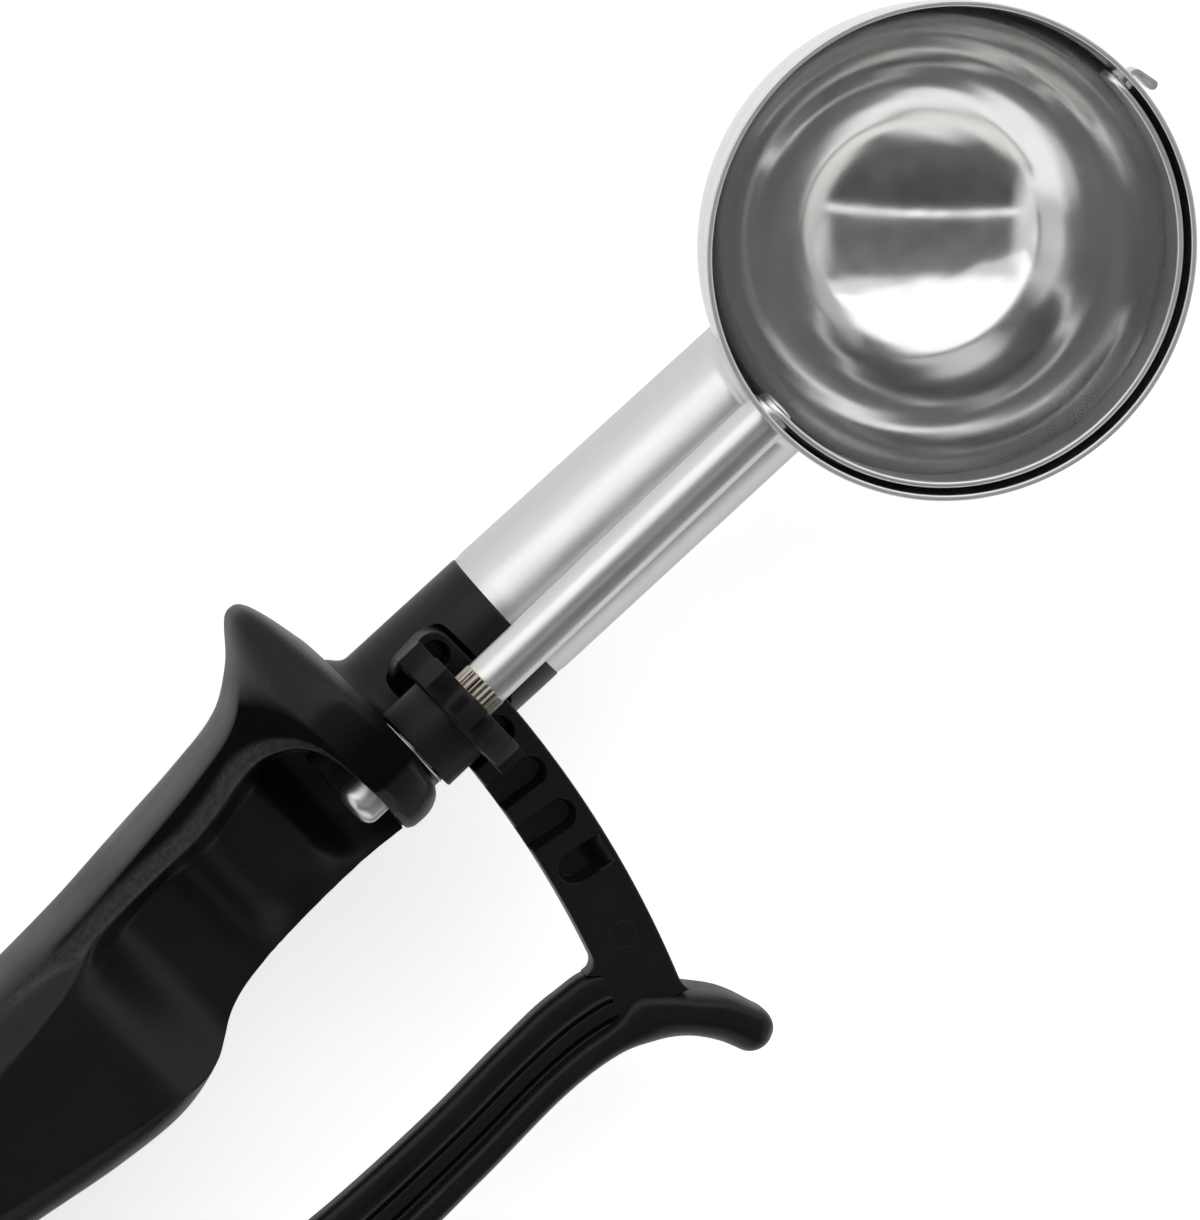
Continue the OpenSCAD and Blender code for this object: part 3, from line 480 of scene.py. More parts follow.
# The fork's gap for the lever's eye, and bores for the pin and the shaft
fork = {
    "low": 6.0, "high": 20.8, "radius": 7.5, "rear": 19.5, "ahead": 16, "side": 40,
    "pinWay": [[-1, 0.01], [-1, 4.3], [2.2, 4.3], [2.2, 2.02], [24.2, 2.02], [24.2, 3.8],
               [40, 3.8], [40, 0.01]],
    "shaftWay": [[30, 0.01], [30, 2.45], [44, 2.45], [44, 0.01]],
}
turn = np.radians(np.linspace(0, 180, 40))
gap = np.vstack([np.column_stack([fork["radius"] * np.cos(turn), fork["radius"] * np.sin(turn)]),
                 [[-fork["rear"], -0.01], [-fork["rear"], -fork["side"]],
                  [fork["ahead"], -fork["side"]], [fork["ahead"], -0.01]]])
cutWith(handleBody, [
    addCutter("forkGap", prism(gap + pivotAt[:2], fork["low"], fork["high"]), handleNylon),
    addCutter("pinWay", turned(fork["pinWay"], 72, "z", pivotAt), handleNylon),
    addCutter("shaftWay", turned(fork["shaftWay"], 72, "x", shaftAt), handleNylon)], sharp=50)
print("handle made")

lever = {
    "along": 260, "tip": 18, "railEnd": 9.2,
    "inner": [[5.4, -1.4], [14, -10.4], [24, -17.6], [36, -24.2], [49, -28.6], [63, -30.2], [77, -30.6],
              [88, -30.3], [95, -30.4], [100.4, -31.9], [105.0, -39.25], [108.05, -43.1], [109.5, -46.3]],
    "outer": [[-1.2, -5.7], [8.5, -16.2], [19, -24.8], [32, -32.6], [47, -37.8], [63, -39.6], [77, -39.5],
              [88.7, -39.1], [95.7, -39.9], [99.5, -41.7], [102.2, -43.6], [104.1, -46.1], [105.2, -48.5]],
    "low": 16.35, "top": 20.4,
    "innerStep": 0.95, "middleStep": 1.0, "innerRound": 1.2,
    # Lines along the rail: share of the width, half width and depth, with a raised lip and a shallow dip
    # beside the first
    "lines": [(0.27, 0.5, 0.16), (0.325, 0.16, -0.1), (0.36, 0.17, 0.5), (0.555, 0.16, 0.5)],
    # Shares of the width where the rail has points: closest at the rounded edge and at the lines
    "railAcross": [0, 0, 0.006, 0.02, 0.045, 0.08, 0.12, 0.16, *np.linspace(0.19, 0.3, 12),
                   *np.linspace(0.305, 0.4, 34), 0.43, 0.47, 0.5, *np.linspace(0.515, 0.6, 26),
                   0.62, 0.64, 0.64],
    # Along the path: the share of the width where the deep flange starts, and the heights of its top and
    # underside
    "flangeFrom": [[0, 0.56], [7.8, 0.56], [8.6, 0.5], [9.4, 0.2], [10, 0], [12, 0]],
    "flangeTop": [[0, 20.4], [9, 20.4], [10.5, 20.3], [12, 19.6]],
    "flangeLow": [[0, 6.4], [8.6, 6.4], [10.4, 8.6], [12, 12.2]],
    "flangeAround": 96, "innerPower": 4.6, "outerPower": 2.5, "heightPower": 3.0,
}


def railSkin(v):
    # Plate between the lever's inner edge and its flange: across is a share of the width, the top drops in
    # steps and grooves
    t = np.linspace(0, v["railEnd"], v["along"])
    inner, outer = pathAt(v["inner"], t), pathAt(v["outer"], t)
    wide = np.linalg.norm(outer - inner, axis=1)[:, None]
    f = np.array(v["railAcross"])[None, :]
    d = np.minimum(f * wide, v["innerRound"])
    curl = v["innerRound"] - np.sqrt(np.maximum(v["innerRound"] ** 2 - (v["innerRound"] - d) ** 2, 0))
    step = mix(v["innerStep"], v["middleStep"], ease((f - 0.36) / 0.02 + 0.5))
    lines = sum(deep * np.exp(-((f - at) * wide / half) ** 2) for at, half, deep in v["lines"])
    top = v["top"] - step - lines - curl
    top[:, -1] = top[:, 0] = v["low"] + 0.3
    low = np.full((len(t), 2), v["low"])
    share = np.concatenate([f + 0 * wide, 0.62 + 0 * wide, 0.03 + 0 * wide], axis=1)
    xy = inner[:, None, :] + (outer - inner)[:, None, :] * share[..., None]
    return np.concatenate([xy + pivotAt[:2], np.concatenate([top, low], axis=1)[..., None]], axis=-1)


def flangeSkin(v):
    # Deep rounded section carried along the lever's outer edge: across = middle + half width times cos bent
    # and z = middle + half height times sin bent; past the last point both shrink as a half circle to the tip
    t = np.linspace(0, len(v["inner"]) - 1, v["along"])
    inner, outer = pathAt(v["inner"], t), pathAt(v["outer"], t)
    inner = mix(inner, outer, curveAt(v["flangeFrom"], t)[:, None])
    middle, half = (inner + outer) / 2, (outer - inner) / 2
    top, low = curveAt(v["flangeTop"], t), curveAt(v["flangeLow"], t)
    reach = np.linalg.norm(half[-1])
    ahead = np.array([-half[-1][1], half[-1][0]]) / reach
    turn = np.linspace(0, np.pi / 2, v["tip"] + 1)[1:] * 0.99
    middle = np.vstack([middle, middle[-1] + ahead * reach * np.sin(turn)[:, None]])
    half = np.vstack([half, half[-1] * np.cos(turn)[:, None]])
    centre = np.concatenate([(top + low) / 2, np.full(v["tip"], (top[-1] + low[-1]) / 2)])[:, None]
    shrunk = (top[-1] - low[-1]) / 2 * mix(1, np.cos(turn), 0.75)
    rise = np.concatenate([(top - low) / 2, shrunk])[:, None]
    a = np.linspace(0, 2 * np.pi, v["flangeAround"], endpoint=False)[None, :]
    power = np.where(np.cos(a) < 0, v["innerPower"], v["outerPower"])
    bend = lambda w, power: np.sign(w) * np.abs(w) ** (2 / power)
    xy = middle[:, None, :] + half[:, None, :] * bend(np.cos(a), power)[..., None]
    z = centre + rise * bend(np.sin(a), v["heightPower"])
    return np.concatenate([xy + pivotAt[:2], z[..., None]], axis=-1)


rack = {
    "radius": 104.9, "pitchRadius": 107.8, "wide": 7.2, "top": 19.55, "low": 16.35,
    "lead": 6.4, "root": -38.5, "corner": 2.0, "edge": 0.3,
    "outFillet": 2.6, "outFrom": -36.9, "outRun": 0.66, "inFillet": 1.4, "inFrom": -31.2,
    "ejector": (-30.46, 4.0, 1.4), "ejectorDeep": 0.07, "ejectorWide": 0.1,
    "slots": 5, "slotPitch": 5.3407, "slotStart": 0.593, "slotWide": 3.3, "slotDeep": 2.3, "slotRun": 0.42,
    "blind": 4.45, "reversed": 2.65, "lastRun": 2.8,  # across: the slots' end, the last one's start and rise
    "rim": 0.75, "pocket": 3.1,
}


def pocketDepth(s, r, k):
    # How deep the rack's face is sunk at s along and r across: each slot is a rounded finger with sloping
    # walls, the last comes from the other side and rises to the outer edge, and a pocket lies at the lead
    def sink(beside, past, wide):
        return k["slotDeep"] * ease((wide / 2 - np.hypot(beside, past)) / k["slotRun"])
    deep = 0 * s + 0 * r
    for i in range(k["slots"]):
        last = i == k["slots"] - 1
        past = np.maximum(k["reversed"] - r if last else r - k["blind"], 0)
        shallow = ease((k["wide"] - 0.2 - r) / k["lastRun"]) if last else 1
        slot = sink(s + k["slotStart"] + i * k["slotPitch"], past, k["slotWide"])
        deep = np.maximum(deep, slot * shallow)
    beside = s - (k["lead"] - k["rim"] - k["pocket"] / 2)
    past = np.maximum(r - (k["wide"] - k["rim"] - k["pocket"] / 2), 0)
    deep = np.maximum(deep, sink(beside, past, k["pocket"]))
    away = np.hypot(s - k["ejector"][0], r - k["ejector"][1]) - k["ejector"][2]
    return deep + k["ejectorDeep"] * np.exp(-(away / k["ejectorWide"]) ** 2)


def rackSkin(k):
    # Section of r across and z up carried along an arc about the pivot; its free corners are round, and
    # fillets on both sides lead into the lever
    s = np.linspace(k["root"], k["lead"], 520)
    closer = k["lead"] - k["corner"] * (1 - np.cos(np.linspace(0.02, 1.5, 14)))
    s = np.sort(np.concatenate([s, closer]))[:, None]
    quarter = lambda d, r: r - np.sqrt(np.maximum(r ** 2 - (r - np.clip(d, 0, r)) ** 2, 0))
    shrink = quarter(k["lead"] - s, k["corner"])
    webFrom = k["inFrom"] - k["inFillet"]
    first = shrink - quarter(s - webFrom, k["inFillet"]) * ease(s - webFrom + 1.0)
    run = np.clip(k["outFrom"] - s, 0, k["outRun"] * k["outFillet"])
    last = k["wide"] - shrink + k["outFillet"] - np.sqrt(k["outFillet"] ** 2 - run ** 2)
    e = k["edge"]
    turn = np.linspace(0, np.pi / 2, 5)[None, :]
    topR = mix(first + e, last - e, np.linspace(0, 1, 80)[None, :])
    topZ = k["top"] - pocketDepth(s, topR, k)
    outR, outZ = last - e + e * np.sin(turn), topZ[:, -1:] - e + e * np.cos(turn)
    inR, inZ = first + e - e * np.sin(turn), topZ[:, :1] - e + e * np.cos(turn)
    r = np.concatenate([topR, outR[:, 1:], last, last - e, first + e, first, inR[:, :0:-1]], axis=1)
    under = np.array([[k["low"] + e, k["low"], k["low"], k["low"] + e]]) + 0 * s
    z = np.concatenate([topZ, outZ[:, 1:], under, inZ[:, :0:-1]], axis=1)
    angle = s / k["pitchRadius"] + 0 * r
    radius = k["radius"] + r
    return np.stack([places["pivotX"] + radius * np.cos(angle), radius * np.sin(angle), z], axis=-1)


addPiece("lever_bar", [skin(railSkin(lever)), skin(flangeSkin(lever))], leverNylon, "lever",
         ["lever"], sharp=50)
addPiece("lever_rack", [skin(rackSkin(rack))], leverNylon, "lever", sharp=60)
eyeProfile = rounded([[6.4, 2.06], [6.4, 6.5], [20.4, 6.5], [20.4, 2.06], [17.4, 2.06], [17.4, 5.0],
                      [9.4, 5.0], [9.4, 2.06], [6.4, 2.06]], 0.5)[:-1]
addPiece("lever_eye", [skin(turned(eyeProfile, 120, "z", pivotAt), ring=True)], leverNylon, "lever")
print("lever made")

bowl = {
    "radius": 24.85, "rim": 25.25, "wall": 0.62, "lip": 3.5, "around": 184,
    "hole": 2.55, "tailHole": 1.24, "holeNear": 15, "holeFar": 30,
    "ripple": [(0.007, 31, 0), (0.004, 53, 1)],  # height, waves to a radian, and where they start
}
down = np.linspace(-np.pi / 2 + 0.004, 0, 200)
outside = bowl["radius"] * np.column_stack([np.sin(down), np.cos(down)])
insideR = bowl["radius"] - bowl["wall"]
# Spinning leaves the inside very slightly rippled in rings
up = down[::-1]
ripple = sum(high * np.sin(waves * up + start) for high, waves, start in bowl["ripple"]) * np.sin(-2 * up)
inside = (insideR + ripple)[:, None] * np.column_stack([np.sin(up), np.cos(up)])
# The lip flares a little from the ball to the rim
rise = np.linspace(0.4, bowl["lip"] - 0.5, 8)[:, None]
flare = (bowl["rim"] - bowl["radius"]) * ease(rise / bowl["lip"])
lip = rounded(np.vstack([np.hstack([rise, bowl["radius"] + flare]), [[bowl["lip"], bowl["rim"]]],
                         [[bowl["lip"], bowl["rim"] - bowl["wall"]]],
                         np.hstack([rise, insideR + flare])[::-1]]), 0.25)
bowlProfile = np.vstack([outside, spaced(lip, 0.6), inside])
bowlBody = addPiece("bowl_shell", [skin(turned(bowlProfile, bowl["around"], "z", bowlAt))], bowlSteel,
                    stands=["bowl"], sharp=70)
cutters = [addCutter("hole", turned([[a, 0.01], [a, r], [b, r], [b, 0.01]], 48, "x", bowlAt), bowlSteel)
           for a, b, r in ((-bowl["holeFar"], -bowl["holeNear"], bowl["hole"]),
                           (bowl["holeNear"], bowl["holeFar"], bowl["tailHole"]))]
cutWith(bowlBody, cutters, sharp=60)

neck = {"from": 10.22, "backR": 7.8, "frontR": 7.6, "length": 56.8, "flare": 0.7, "flareRun": 1.6,
        "gap": 0.02, "edge": 0.12}


def neckSkin(n):
    # Tapered tube whose far end is cut where each of its lines meets the bowl's ball, flared there into the
    # weld. The last ring and the cap inside it lie on the ball, so nothing of the cap shows in the bowl
    angle = np.linspace(0, 2 * np.pi, 200, endpoint=False)[None, :]
    y, up = np.cos(angle), np.sin(angle)
    slope = np.radians(places["neckSlope"])
    ahead, above = places["bowlX"] - places["pinionX"], places["axisZ"] - places["neckZ"]
    ballS = ahead * np.cos(slope) + above * np.sin(slope)
    ballN = -ahead * np.sin(slope) + above * np.cos(slope)
    ball = bowl["radius"] + n["gap"]
    onBall = lambda r: ballS - np.sqrt(ball ** 2 - (r * y) ** 2 - (r * up - ballN) ** 2)
    cap = (n["frontR"] + n["flare"]) * np.linspace(1, 0.02, 14)[1:, None]
    end = onBall(n["frontR"] + n["flare"])
    u = np.linspace(0, 1, 90)[:, None] ** 0.8
    s = mix(n["from"], end, u)
    r = mix(n["backR"], n["frontR"], (s - n["from"]) / n["length"])
    r = r + n["flare"] * (1 - ease((end - s) / n["flareRun"])) ** 2 - np.where(u == 0, n["edge"], 0)
    return neckPlace(np.concatenate([np.stack([s, r * y, r * up], axis=-1),
                                     np.stack([onBall(cap), cap * y, cap * up], axis=-1)]))


addPiece("neck_tube_skin", [skin(neckSkin(neck))], neckSteel, stands=["neck_tube"],
         sharp=50)
print("bowl and neck made")

shaft = {
    "end": 30.8, "journal": 2.4, "noseR": 1.3, "core": 2.25, "radius": 2.5, "stem": 88.8,
    "rivet": [[0, 1.5], [0.7, 1.5], [0.72, 1.9], [1.0, 1.7], [1.12, 0.01]],  # past the stem, and radius
    "splineFrom": 42.0, "splineTo": 49.3, "splineR": 2.6, "splineDeep": 0.24, "splineFoot": 2.1,
    "splines": 26,
}
turn = np.linspace(0, np.pi / 2, 9)
noseCentre = np.array([shaft["end"] + shaft["noseR"], shaft["journal"] - shaft["noseR"]])
nose = noseCentre + shaft["noseR"] * np.column_stack([-np.cos(turn), np.sin(turn)])
rod = rounded(np.vstack([
    [[shaft["end"] + 1.4, shaft["journal"]], [shaft["splineFrom"] + 0.3, shaft["journal"]],
     [shaft["splineFrom"] + 0.4, shaft["core"]], [shaft["splineTo"] - 0.4, shaft["core"]],
     [shaft["splineTo"] - 0.1, shaft["radius"]], [shaft["stem"], shaft["radius"]]],
    np.array(shaft["rivet"]) + [shaft["stem"], 0]]), 0.12, 4)
profile = spaced(np.vstack([[[shaft["end"], 0.01]], nose, rod]), 0.5)
addPiece("blade_shaft_rod", [skin(turned(profile, 96, "x", shaftAt))], shaftSteel, "blade",
         ["blade_shaft"], sharp=35)
# Splines: the radius falls between the ridges, more or less deeply from one groove to the next
ring = rounded([[shaft["splineFrom"], shaft["splineFoot"]], [shaft["splineFrom"], shaft["splineR"]],
                [shaft["splineTo"], shaft["splineR"]], [shaft["splineTo"], shaft["splineFoot"]]], 0.1, 4)
around = 12 * shaft["splines"]
points = turned(spaced(ring, 0.25), around)
turn = np.arange(around) / around * shaft["splines"]
uneven = 0.75 + 0.35 * np.sin(3.7 * np.floor(turn))
depth = shaft["splineDeep"] * uneven * (0.5 + 0.5 * np.cos(2 * np.pi * turn))
radial = np.hypot(points[..., 1], points[..., 2])
points[..., 1:] *= (1 - depth * (radial > shaft["core"]) / radial)[..., None]
addPiece("blade_shaft_splines", [skin(points + shaftAt, ring=True)], splineSteel, "blade",
         sharp=60)

blade = {"radius": 24.0, "thick": 0.6, "half": 2.7, "back": 0.7, "edge": 0.12}


def bladeSkin(b):
    # Flat strip bent to a half ring about the bowl's middle: along is the angle from the shaft's end to the
    # far end, across is height, and each end is a half disc whose middle lies back from the shaft's axis
    cap = np.arcsin((b["half"] * np.sin(np.linspace(0, np.pi / 2, 18)) - b["back"]) / b["radius"])
    between = np.linspace(np.pi - cap[0], 2 * np.pi + cap[0], 160)[1:-1]
    angle = np.concatenate([np.pi - cap[::-1], between, 2 * np.pi + cap])[:, None]
    past = np.maximum(b["radius"] * np.sin(angle) + b["back"], 0)
    half = np.sqrt(np.maximum(b["half"] ** 2 - past ** 2, 0.0004))
    e = np.minimum(b["edge"], half * 0.5)
    # Round the section: share of the half height, share of the edge's rounding, share of the thickness
    rise = np.linspace(-1, 1, 11)
    up = np.concatenate([rise, [1, 1], -rise, [-1, -1]])
    inset = np.concatenate([[1], np.zeros(9), [1, 0, 0, 1], np.zeros(9), [1, 0, 0]])
    depth = np.concatenate([np.zeros(11), [0.2, 0.8], np.ones(11), [0.8, 0.2]])
    r = b["radius"] - b["thick"] * depth
    z = up * (half - e * inset)
    return np.stack([places["bowlX"] + r * np.cos(angle), r * np.sin(angle), places["axisZ"] + z], axis=-1)


# The tail goes out through the bowl and down, and is folded back in a hem
tail = {"from": 23.9, "out": 26.1, "bend": 0.5, "half": 1.1, "thick": 0.54,
        "hem": (26.35, -2.3), "hemR": 0.3, "fold": 1.7}


def tailSkin(h):
    # Rounded strip section carried along the tail's middle line, which ends in a half circle and a short
    # way back up
    turn = np.radians(np.linspace(0, -180, 20))
    hem = np.array(h["hem"]) + h["hemR"] * np.column_stack([np.cos(turn), np.sin(turn)])
    down = rounded([[h["from"], 0], [h["out"], 0], hem[0]], h["bend"], 9)
    line = spaced(np.vstack([down, hem[1:], hem[-1] + [-0.06, h["fold"]]]), 0.12)
    ahead = np.gradient(line, axis=0)
    ahead /= np.linalg.norm(ahead, axis=1)[:, None]
    side = np.column_stack([ahead[:, 1], -ahead[:, 0]])
    ring = rounded([[-1, 0], [-1, -1], [1, -1], [1, 1], [-1, 1], [-1, 0]], 0.3, 5)[:-1]
    across, up = h["thick"] / 2 * ring[:, 0], ring[:, 1]
    xy = line[:, None, :] + side[:, None, :] * across[None, :, None]
    z = np.sign(up) * (h["half"] - (1 - np.abs(up)) * h["thick"] / 2) + 0 * line[:, :1]
    return np.concatenate([xy + bowlAt[:2], (z + places["axisZ"])[..., None]], axis=-1)


addPiece("blade_strip", [skin(bladeSkin(blade)), skin(tailSkin(tail))], bladeSteel, "blade",
         ["scraper_blade"], sharp=50)

pinion = {
    "teeth": 8, "tipR": 7.9, "rootR": 5.45, "tipWide": 1.85, "footWide": 2.3, "footUp": 0.9, "phase": -5.0,
    "thick": 3.0, "hubR": 4.85, "hubLong": 4.7, "bore": 2.62, "edge": 0.16,
}


def toothOutline(p):
    # One turn of the gear's edge: each tooth has a land of tipWide, straight flanks, and a round valley to
    # the next tooth
    at = lambda radius, angle: radius * np.stack([np.cos(angle), np.sin(angle)], axis=-1)
    step = 2 * np.pi / p["teeth"]
    flankR = p["rootR"] + p["footUp"]
    land, foot = np.arcsin(p["tipWide"] / 2 / p["tipR"]), np.arcsin(p["footWide"] / 2 / flankR)
    start, finish = at(flankR, foot), at(flankR, step - foot)
    bottom = 2 * at(p["rootR"] * 0.985, step / 2) - (start + finish) / 2
    t = np.linspace(0, 1, 13)[:, None]
    valley = (1 - t) ** 2 * start + 2 * t * (1 - t) * bottom + t ** 2 * finish
    x, y = np.vstack([at(p["tipR"], np.linspace(-land, land, 7)), valley]).T
    turns = np.radians(p["phase"]) + step * np.arange(p["teeth"])[:, None]
    return np.stack([x * np.cos(turns) - y * np.sin(turns), x * np.sin(turns) + y * np.cos(turns)],
                    axis=-1).reshape(-1, 2)


def pinionSkin(p):
    # Rings, each at x with radius r, from the bore over the front face, the toothed edge, the back face and
    # the hub, back to the bore
    edge = toothOutline(p)
    away = np.linalg.norm(edge, axis=1)[:, None]
    e, h, hub = p["edge"], p["thick"] / 2, -p["thick"] / 2 - p["hubLong"]
    rings = [(h, p["bore"]), (h, p["bore"] + 0.6), (h, 4.2), (h, (away - e) * 0.75 + 1.2), (h, away - e),
             (h - e * 0.3, away - e * 0.3), (h - e, away), (0, away), (-h + e, away),
             (-h + e * 0.3, away - e * 0.3), (-h, away - e), (-h, (away - e) * 0.5 + 2.6),
             (-h, p["hubR"] + 0.15), (-h - 0.15, p["hubR"]), (hub + e, p["hubR"]),
             (hub + e * 0.3, p["hubR"] - e * 0.3), (hub, p["hubR"] - e), (hub, p["bore"])]
    points = np.stack([np.column_stack([np.full(len(edge), x), edge / away * r]) for x, r in rings])
    return points + [places["pinionX"], 0, places["axisZ"]]


addPiece("pinion_gear", [skin(pinionSkin(pinion), ring=True)], gearNylon, "blade", ["pinion"],
         sharp=35)


def ringProfile(low, high, bore, radius, edge):
    # Closed section of a flat ring, its edges rounded
    return rounded([[low, bore], [low, radius], [high, radius], [high, bore], [low, bore]], edge, 4)[:-1]


washer = {"low": 39.17, "high": 39.45, "bore": 2.5, "radius": 4.0, "edge": 0.1}
addPiece("thrust_washer_ring", [skin(turned(ringProfile(**washer), 96, "x", shaftAt), ring=True)],
         shaftSteel, stands=["thrust_washer"])
print("shaft, blade and pinion made")

pin = {"corners": [[0.4, 0.01], [0.4, 2.0], [24.2, 2.0], [24.2, 3.5], [25.0, 3.3], [25.55, 2.2],
                   [25.65, 0.01]], "edges": [0, 0.4, 0.1, 0.3, 0.5, 0.8, 0]}
addPiece("pivot_pin_rivet", [skin(turned(rounded(pin["corners"], pin["edges"], 6), 72, "z", pivotAt))],
         shaftSteel, stands=["pivot_pin"])
clip = {"low": 1.7, "high": 2.2, "bore": 2.02, "radius": 4.0, "edge": 0.12}
addPiece("pivot_clip_ring", [skin(turned(ringProfile(**clip), 72, "z", pivotAt), ring=True)], bladeSteel,
         stands=["pivot_clip"])
spring = {
    "wire": 0.65, "coil": 3.15, "pitch": 1.36, "turns": 4.5, "start": 90.0, "z": 10.34,
    "fixedLeg": 12.0, "movingLeg": 13.0, "leverAngle": -52.0, "bend": 1.5,
}


def springSkin(w, moving):
    # Round wire carried along a helix about the pin with a straight leg, or along the other leg, which
    # moves with the lever
    turn = np.linspace(0, w["turns"], 260)
    angle = np.radians(w["start"] + 360 * turn)
    coil = np.column_stack([w["coil"] * np.cos(angle), w["coil"] * np.sin(angle), w["z"] + w["pitch"] * turn])
    path = np.vstack([coil[0] + [w["fixedLeg"], 0, 0], coil[0] + [w["bend"], 0, 0], coil])
    if moving:
        lead = np.radians(w["leverAngle"])
        path = coil[-1] + np.array([[0], [w["bend"]], [w["movingLeg"]]]) * [np.cos(lead), np.sin(lead), 0]
    ahead = np.gradient(path, axis=0)
    ahead /= np.linalg.norm(ahead, axis=1)[:, None]
    side = np.cross(ahead, [0, 0, 1])
    side /= np.linalg.norm(side, axis=1)[:, None]
    up = np.cross(side, ahead)
    a = np.linspace(0, 2 * np.pi, 16, endpoint=False)[None, :, None]
    ring = w["wire"] * (np.cos(a) * side[:, None, :] + np.sin(a) * up[:, None, :])
    return path[:, None, :] + ring + pivotAt


addPiece("return_spring_wire", [skin(springSkin(spring, False))], wireSteel,
         stands=["return_spring"])
addPiece("return_spring_leg", [skin(springSkin(spring, True))], wireSteel, body="lever")
print("pivot and spring made")

look = {
    "target": (0.0627, -0.0027, 0.0251),  # the point at the middle of the picture
    "back": (-0.0459, 0.2533, 0.9663),  # from the target to the camera
    "right": (0.7240, -0.6576, 0.2069),
    "distance": 1.2514, "lens": 369.0, "sensor": 36.0,
}
back = Vector(look["back"]).normalized()
side = Vector(look["right"])
side = (side - side.dot(back) * back).normalized()
above = back.cross(side)
studio = {
    "floor": 6.0, "floorZ": -0.0004, "glow": 0.68, "glossyGlow": 0.4,
    # The white tent round the table is open overhead. Directions are shares along side and above, levels
    # are how white it is: the opening's ends across, and up the tent its near part, a lamp's bright line and
    # its far part
    "bright": 0.85,
    "ends": [(-0.62, 0), (-0.54, 1), (0.8, 1), (0.88, 0)],
    "opening": [(-0.86, 0.85), (-0.78, 0.14), (-0.335, 0.07), (-0.325, 1.3), (-0.285, 1.3), (-0.27, 0.14),
                (0.19, 0.2), (0.24, 0.85)],
    "box": {"turn": 38, "distance": 1.2, "size": (3.0, 1.1), "power": 6.0},  # turn is in degrees
}
floorMesh = bpy.data.meshes.new("floor")
w, z = studio["floor"], studio["floorZ"]
floorMesh.from_pydata([(-w, -w, z), (w, -w, z), (w, w, z), (-w, w, z)], [], [(0, 1, 2, 3)])
floor = bpy.data.objects.new("floor", floorMesh)
bpy.context.scene.collection.objects.link(floor)
# White paper that glows for the camera, and less so in reflections
paper = bpy.data.materials.new("white paper")
paper.use_nodes = True
tree = paper.node_tree
tree.nodes.clear()
rays = addNode(tree, "LightPath")
seen = addNode(tree, "Math", {"operation": "MULTIPLY_ADD"}, {
    0: rays.outputs["Is Glossy Ray"], 1: studio["glossyGlow"], 2: rays.outputs["Is Camera Ray"]})
matt = addNode(tree, "BsdfDiffuse", inputs={"Color": hexColour("#f4f4f4")})
white = addNode(tree, "Emission", inputs={"Color": (1, 1, 1, 1), "Strength": studio["glow"]})
both = addNode(tree, "AddShader", inputs={0: matt.outputs[0], 1: white.outputs[0]})
pick = addNode(tree, "MixShader", inputs={0: seen.outputs[0], 1: matt.outputs[0], 2: both.outputs[0]})
addNode(tree, "OutputMaterial", inputs={"Surface": pick.outputs[0]})
floorMesh.materials.append(paper)

world = bpy.data.worlds.new("studio")
bpy.context.scene.world = world
world.use_nodes = True
tree = world.node_tree
tree.nodes.clear()
direction = addNode(tree, "TexCoord")


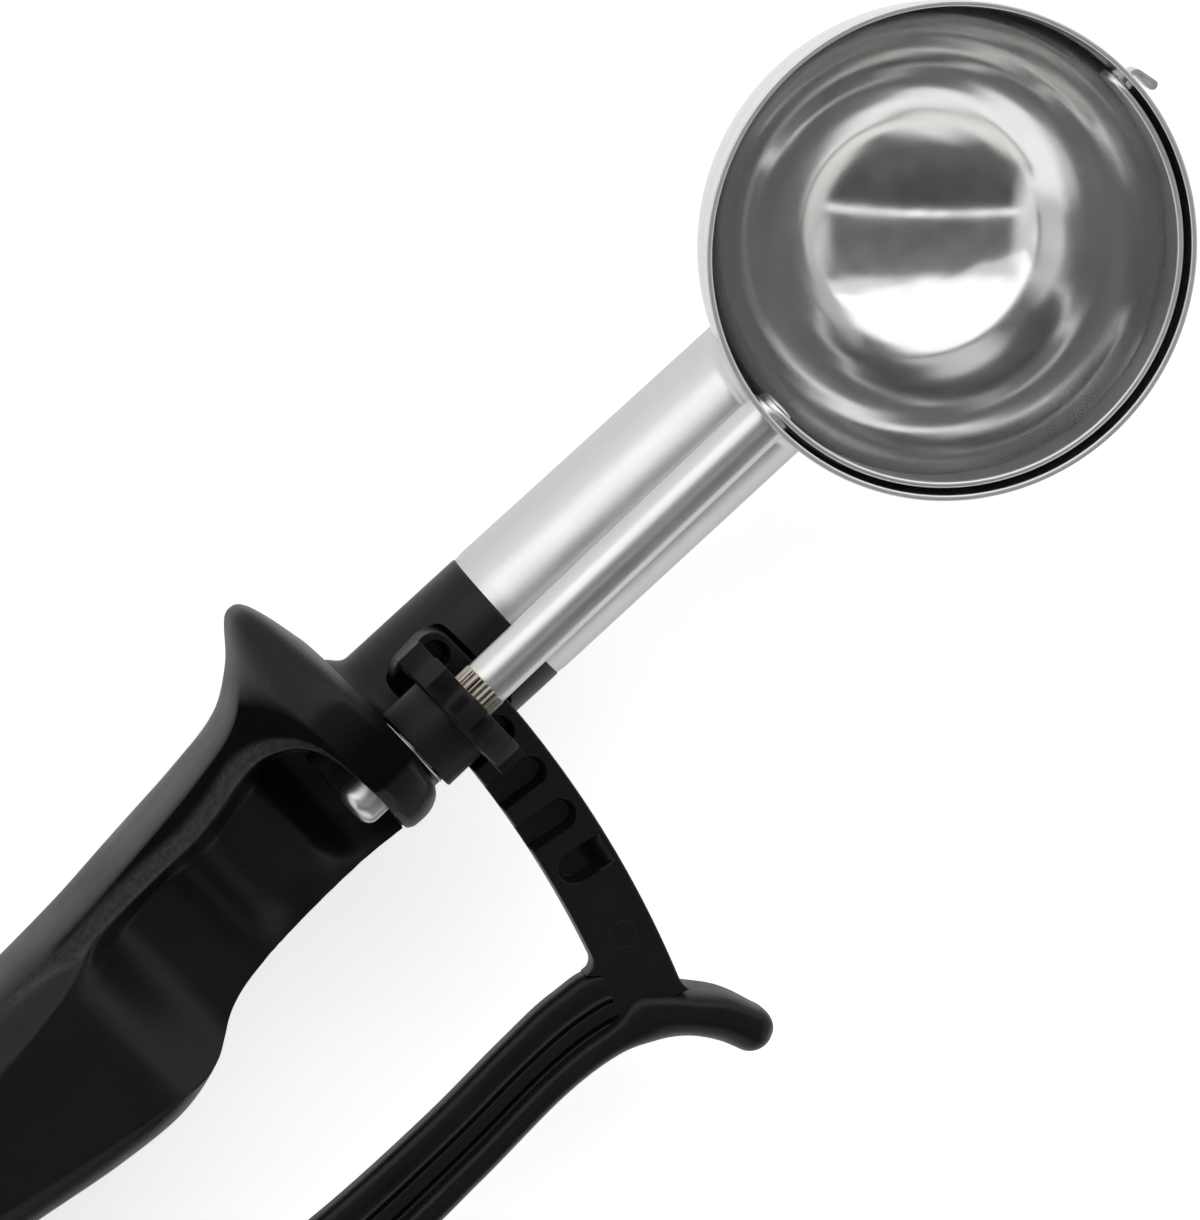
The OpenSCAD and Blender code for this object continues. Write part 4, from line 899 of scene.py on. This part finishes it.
def levelsAlong(axis, stops):
    # Levels by how far the direction points along axis, from -1 to 1
    facing = addNode(tree, "VectorMath", {"operation": "DOT_PRODUCT"}, {
        0: direction.outputs["Generated"], 1: tuple(axis)})
    share = addNode(tree, "Math", {"operation": "MULTIPLY_ADD"}, {
        0: facing.outputs["Value"], 1: 0.5, 2: 0.5})
    ramp = addNode(tree, "ValToRGB", inputs={"Fac": share.outputs["Value"]})
    for place, level in stops:
        stop = ramp.color_ramp.elements.new(0.5 + 0.5 * place)
        stop.color = (level, level, level, 1)
    ramp.color_ramp.elements.remove(ramp.color_ramp.elements[0])
    ramp.color_ramp.elements.remove(ramp.color_ramp.elements[-1])
    return ramp.outputs["Color"]


bright = studio["bright"]
tent = addNode(tree, "Mix", {"data_type": "RGBA"}, {
    "Factor": levelsAlong(side, studio["ends"]), "A": (bright, bright, bright, 1),
    "B": levelsAlong(above, studio["opening"])})
cloth = addNode(tree, "TexNoise", inputs={
    "Vector": direction.outputs["Generated"], "Scale": 5.0, "Detail": 3.0})
folds = addNode(tree, "MapRange", inputs={
    "Value": cloth.outputs["Fac"], "From Min": 0.3, "From Max": 0.7, "To Min": 0.8, "To Max": 1.2})
soft = addNode(tree, "Background", inputs={
    "Color": tent.outputs["Result"], "Strength": folds.outputs["Result"]})
plain = addNode(tree, "Background", inputs={"Color": (1, 1, 1, 1), "Strength": 1.0})
rays = addNode(tree, "LightPath")
pick = addNode(tree, "MixShader", inputs={
    0: rays.outputs["Is Camera Ray"], 1: soft.outputs[0], 2: plain.outputs[0]})
addNode(tree, "OutputWorld", inputs={"Surface": pick.outputs[0]})

# Softbox in front of the bowl, turned up from the camera's direction
box = studio["box"]
aim = Vector(bowlAt) * 0.001
ahead = back * np.cos(np.radians(box["turn"])) + above * np.sin(np.radians(box["turn"]))
lamp = bpy.data.lights.new("upperBox", "AREA")
lamp.shape, lamp.energy, (lamp.size, lamp.size_y) = "RECTANGLE", box["power"], box["size"]
upperBox = bpy.data.objects.new("upperBox", lamp)
bpy.context.scene.collection.objects.link(upperBox)
upperBox.location = aim + ahead * box["distance"]
upperBox.rotation_euler = (-ahead).to_track_quat("-Z", "Y").to_euler()

camera = bpy.data.cameras.new("camera")
camera.lens, camera.sensor_width = look["lens"], look["sensor"]
camera.clip_start, camera.clip_end = 0.05, 20
eye = bpy.data.objects.new("camera", camera)
bpy.context.scene.collection.objects.link(eye)
bpy.context.scene.camera = eye
turnMatrix = Matrix((side, above, back)).transposed().to_4x4()
eye.matrix_world = Matrix.Translation(Vector(look["target"]) + back * look["distance"]) @ turnMatrix
bpy.context.scene.view_settings.view_transform = "Standard"
print("stage set")
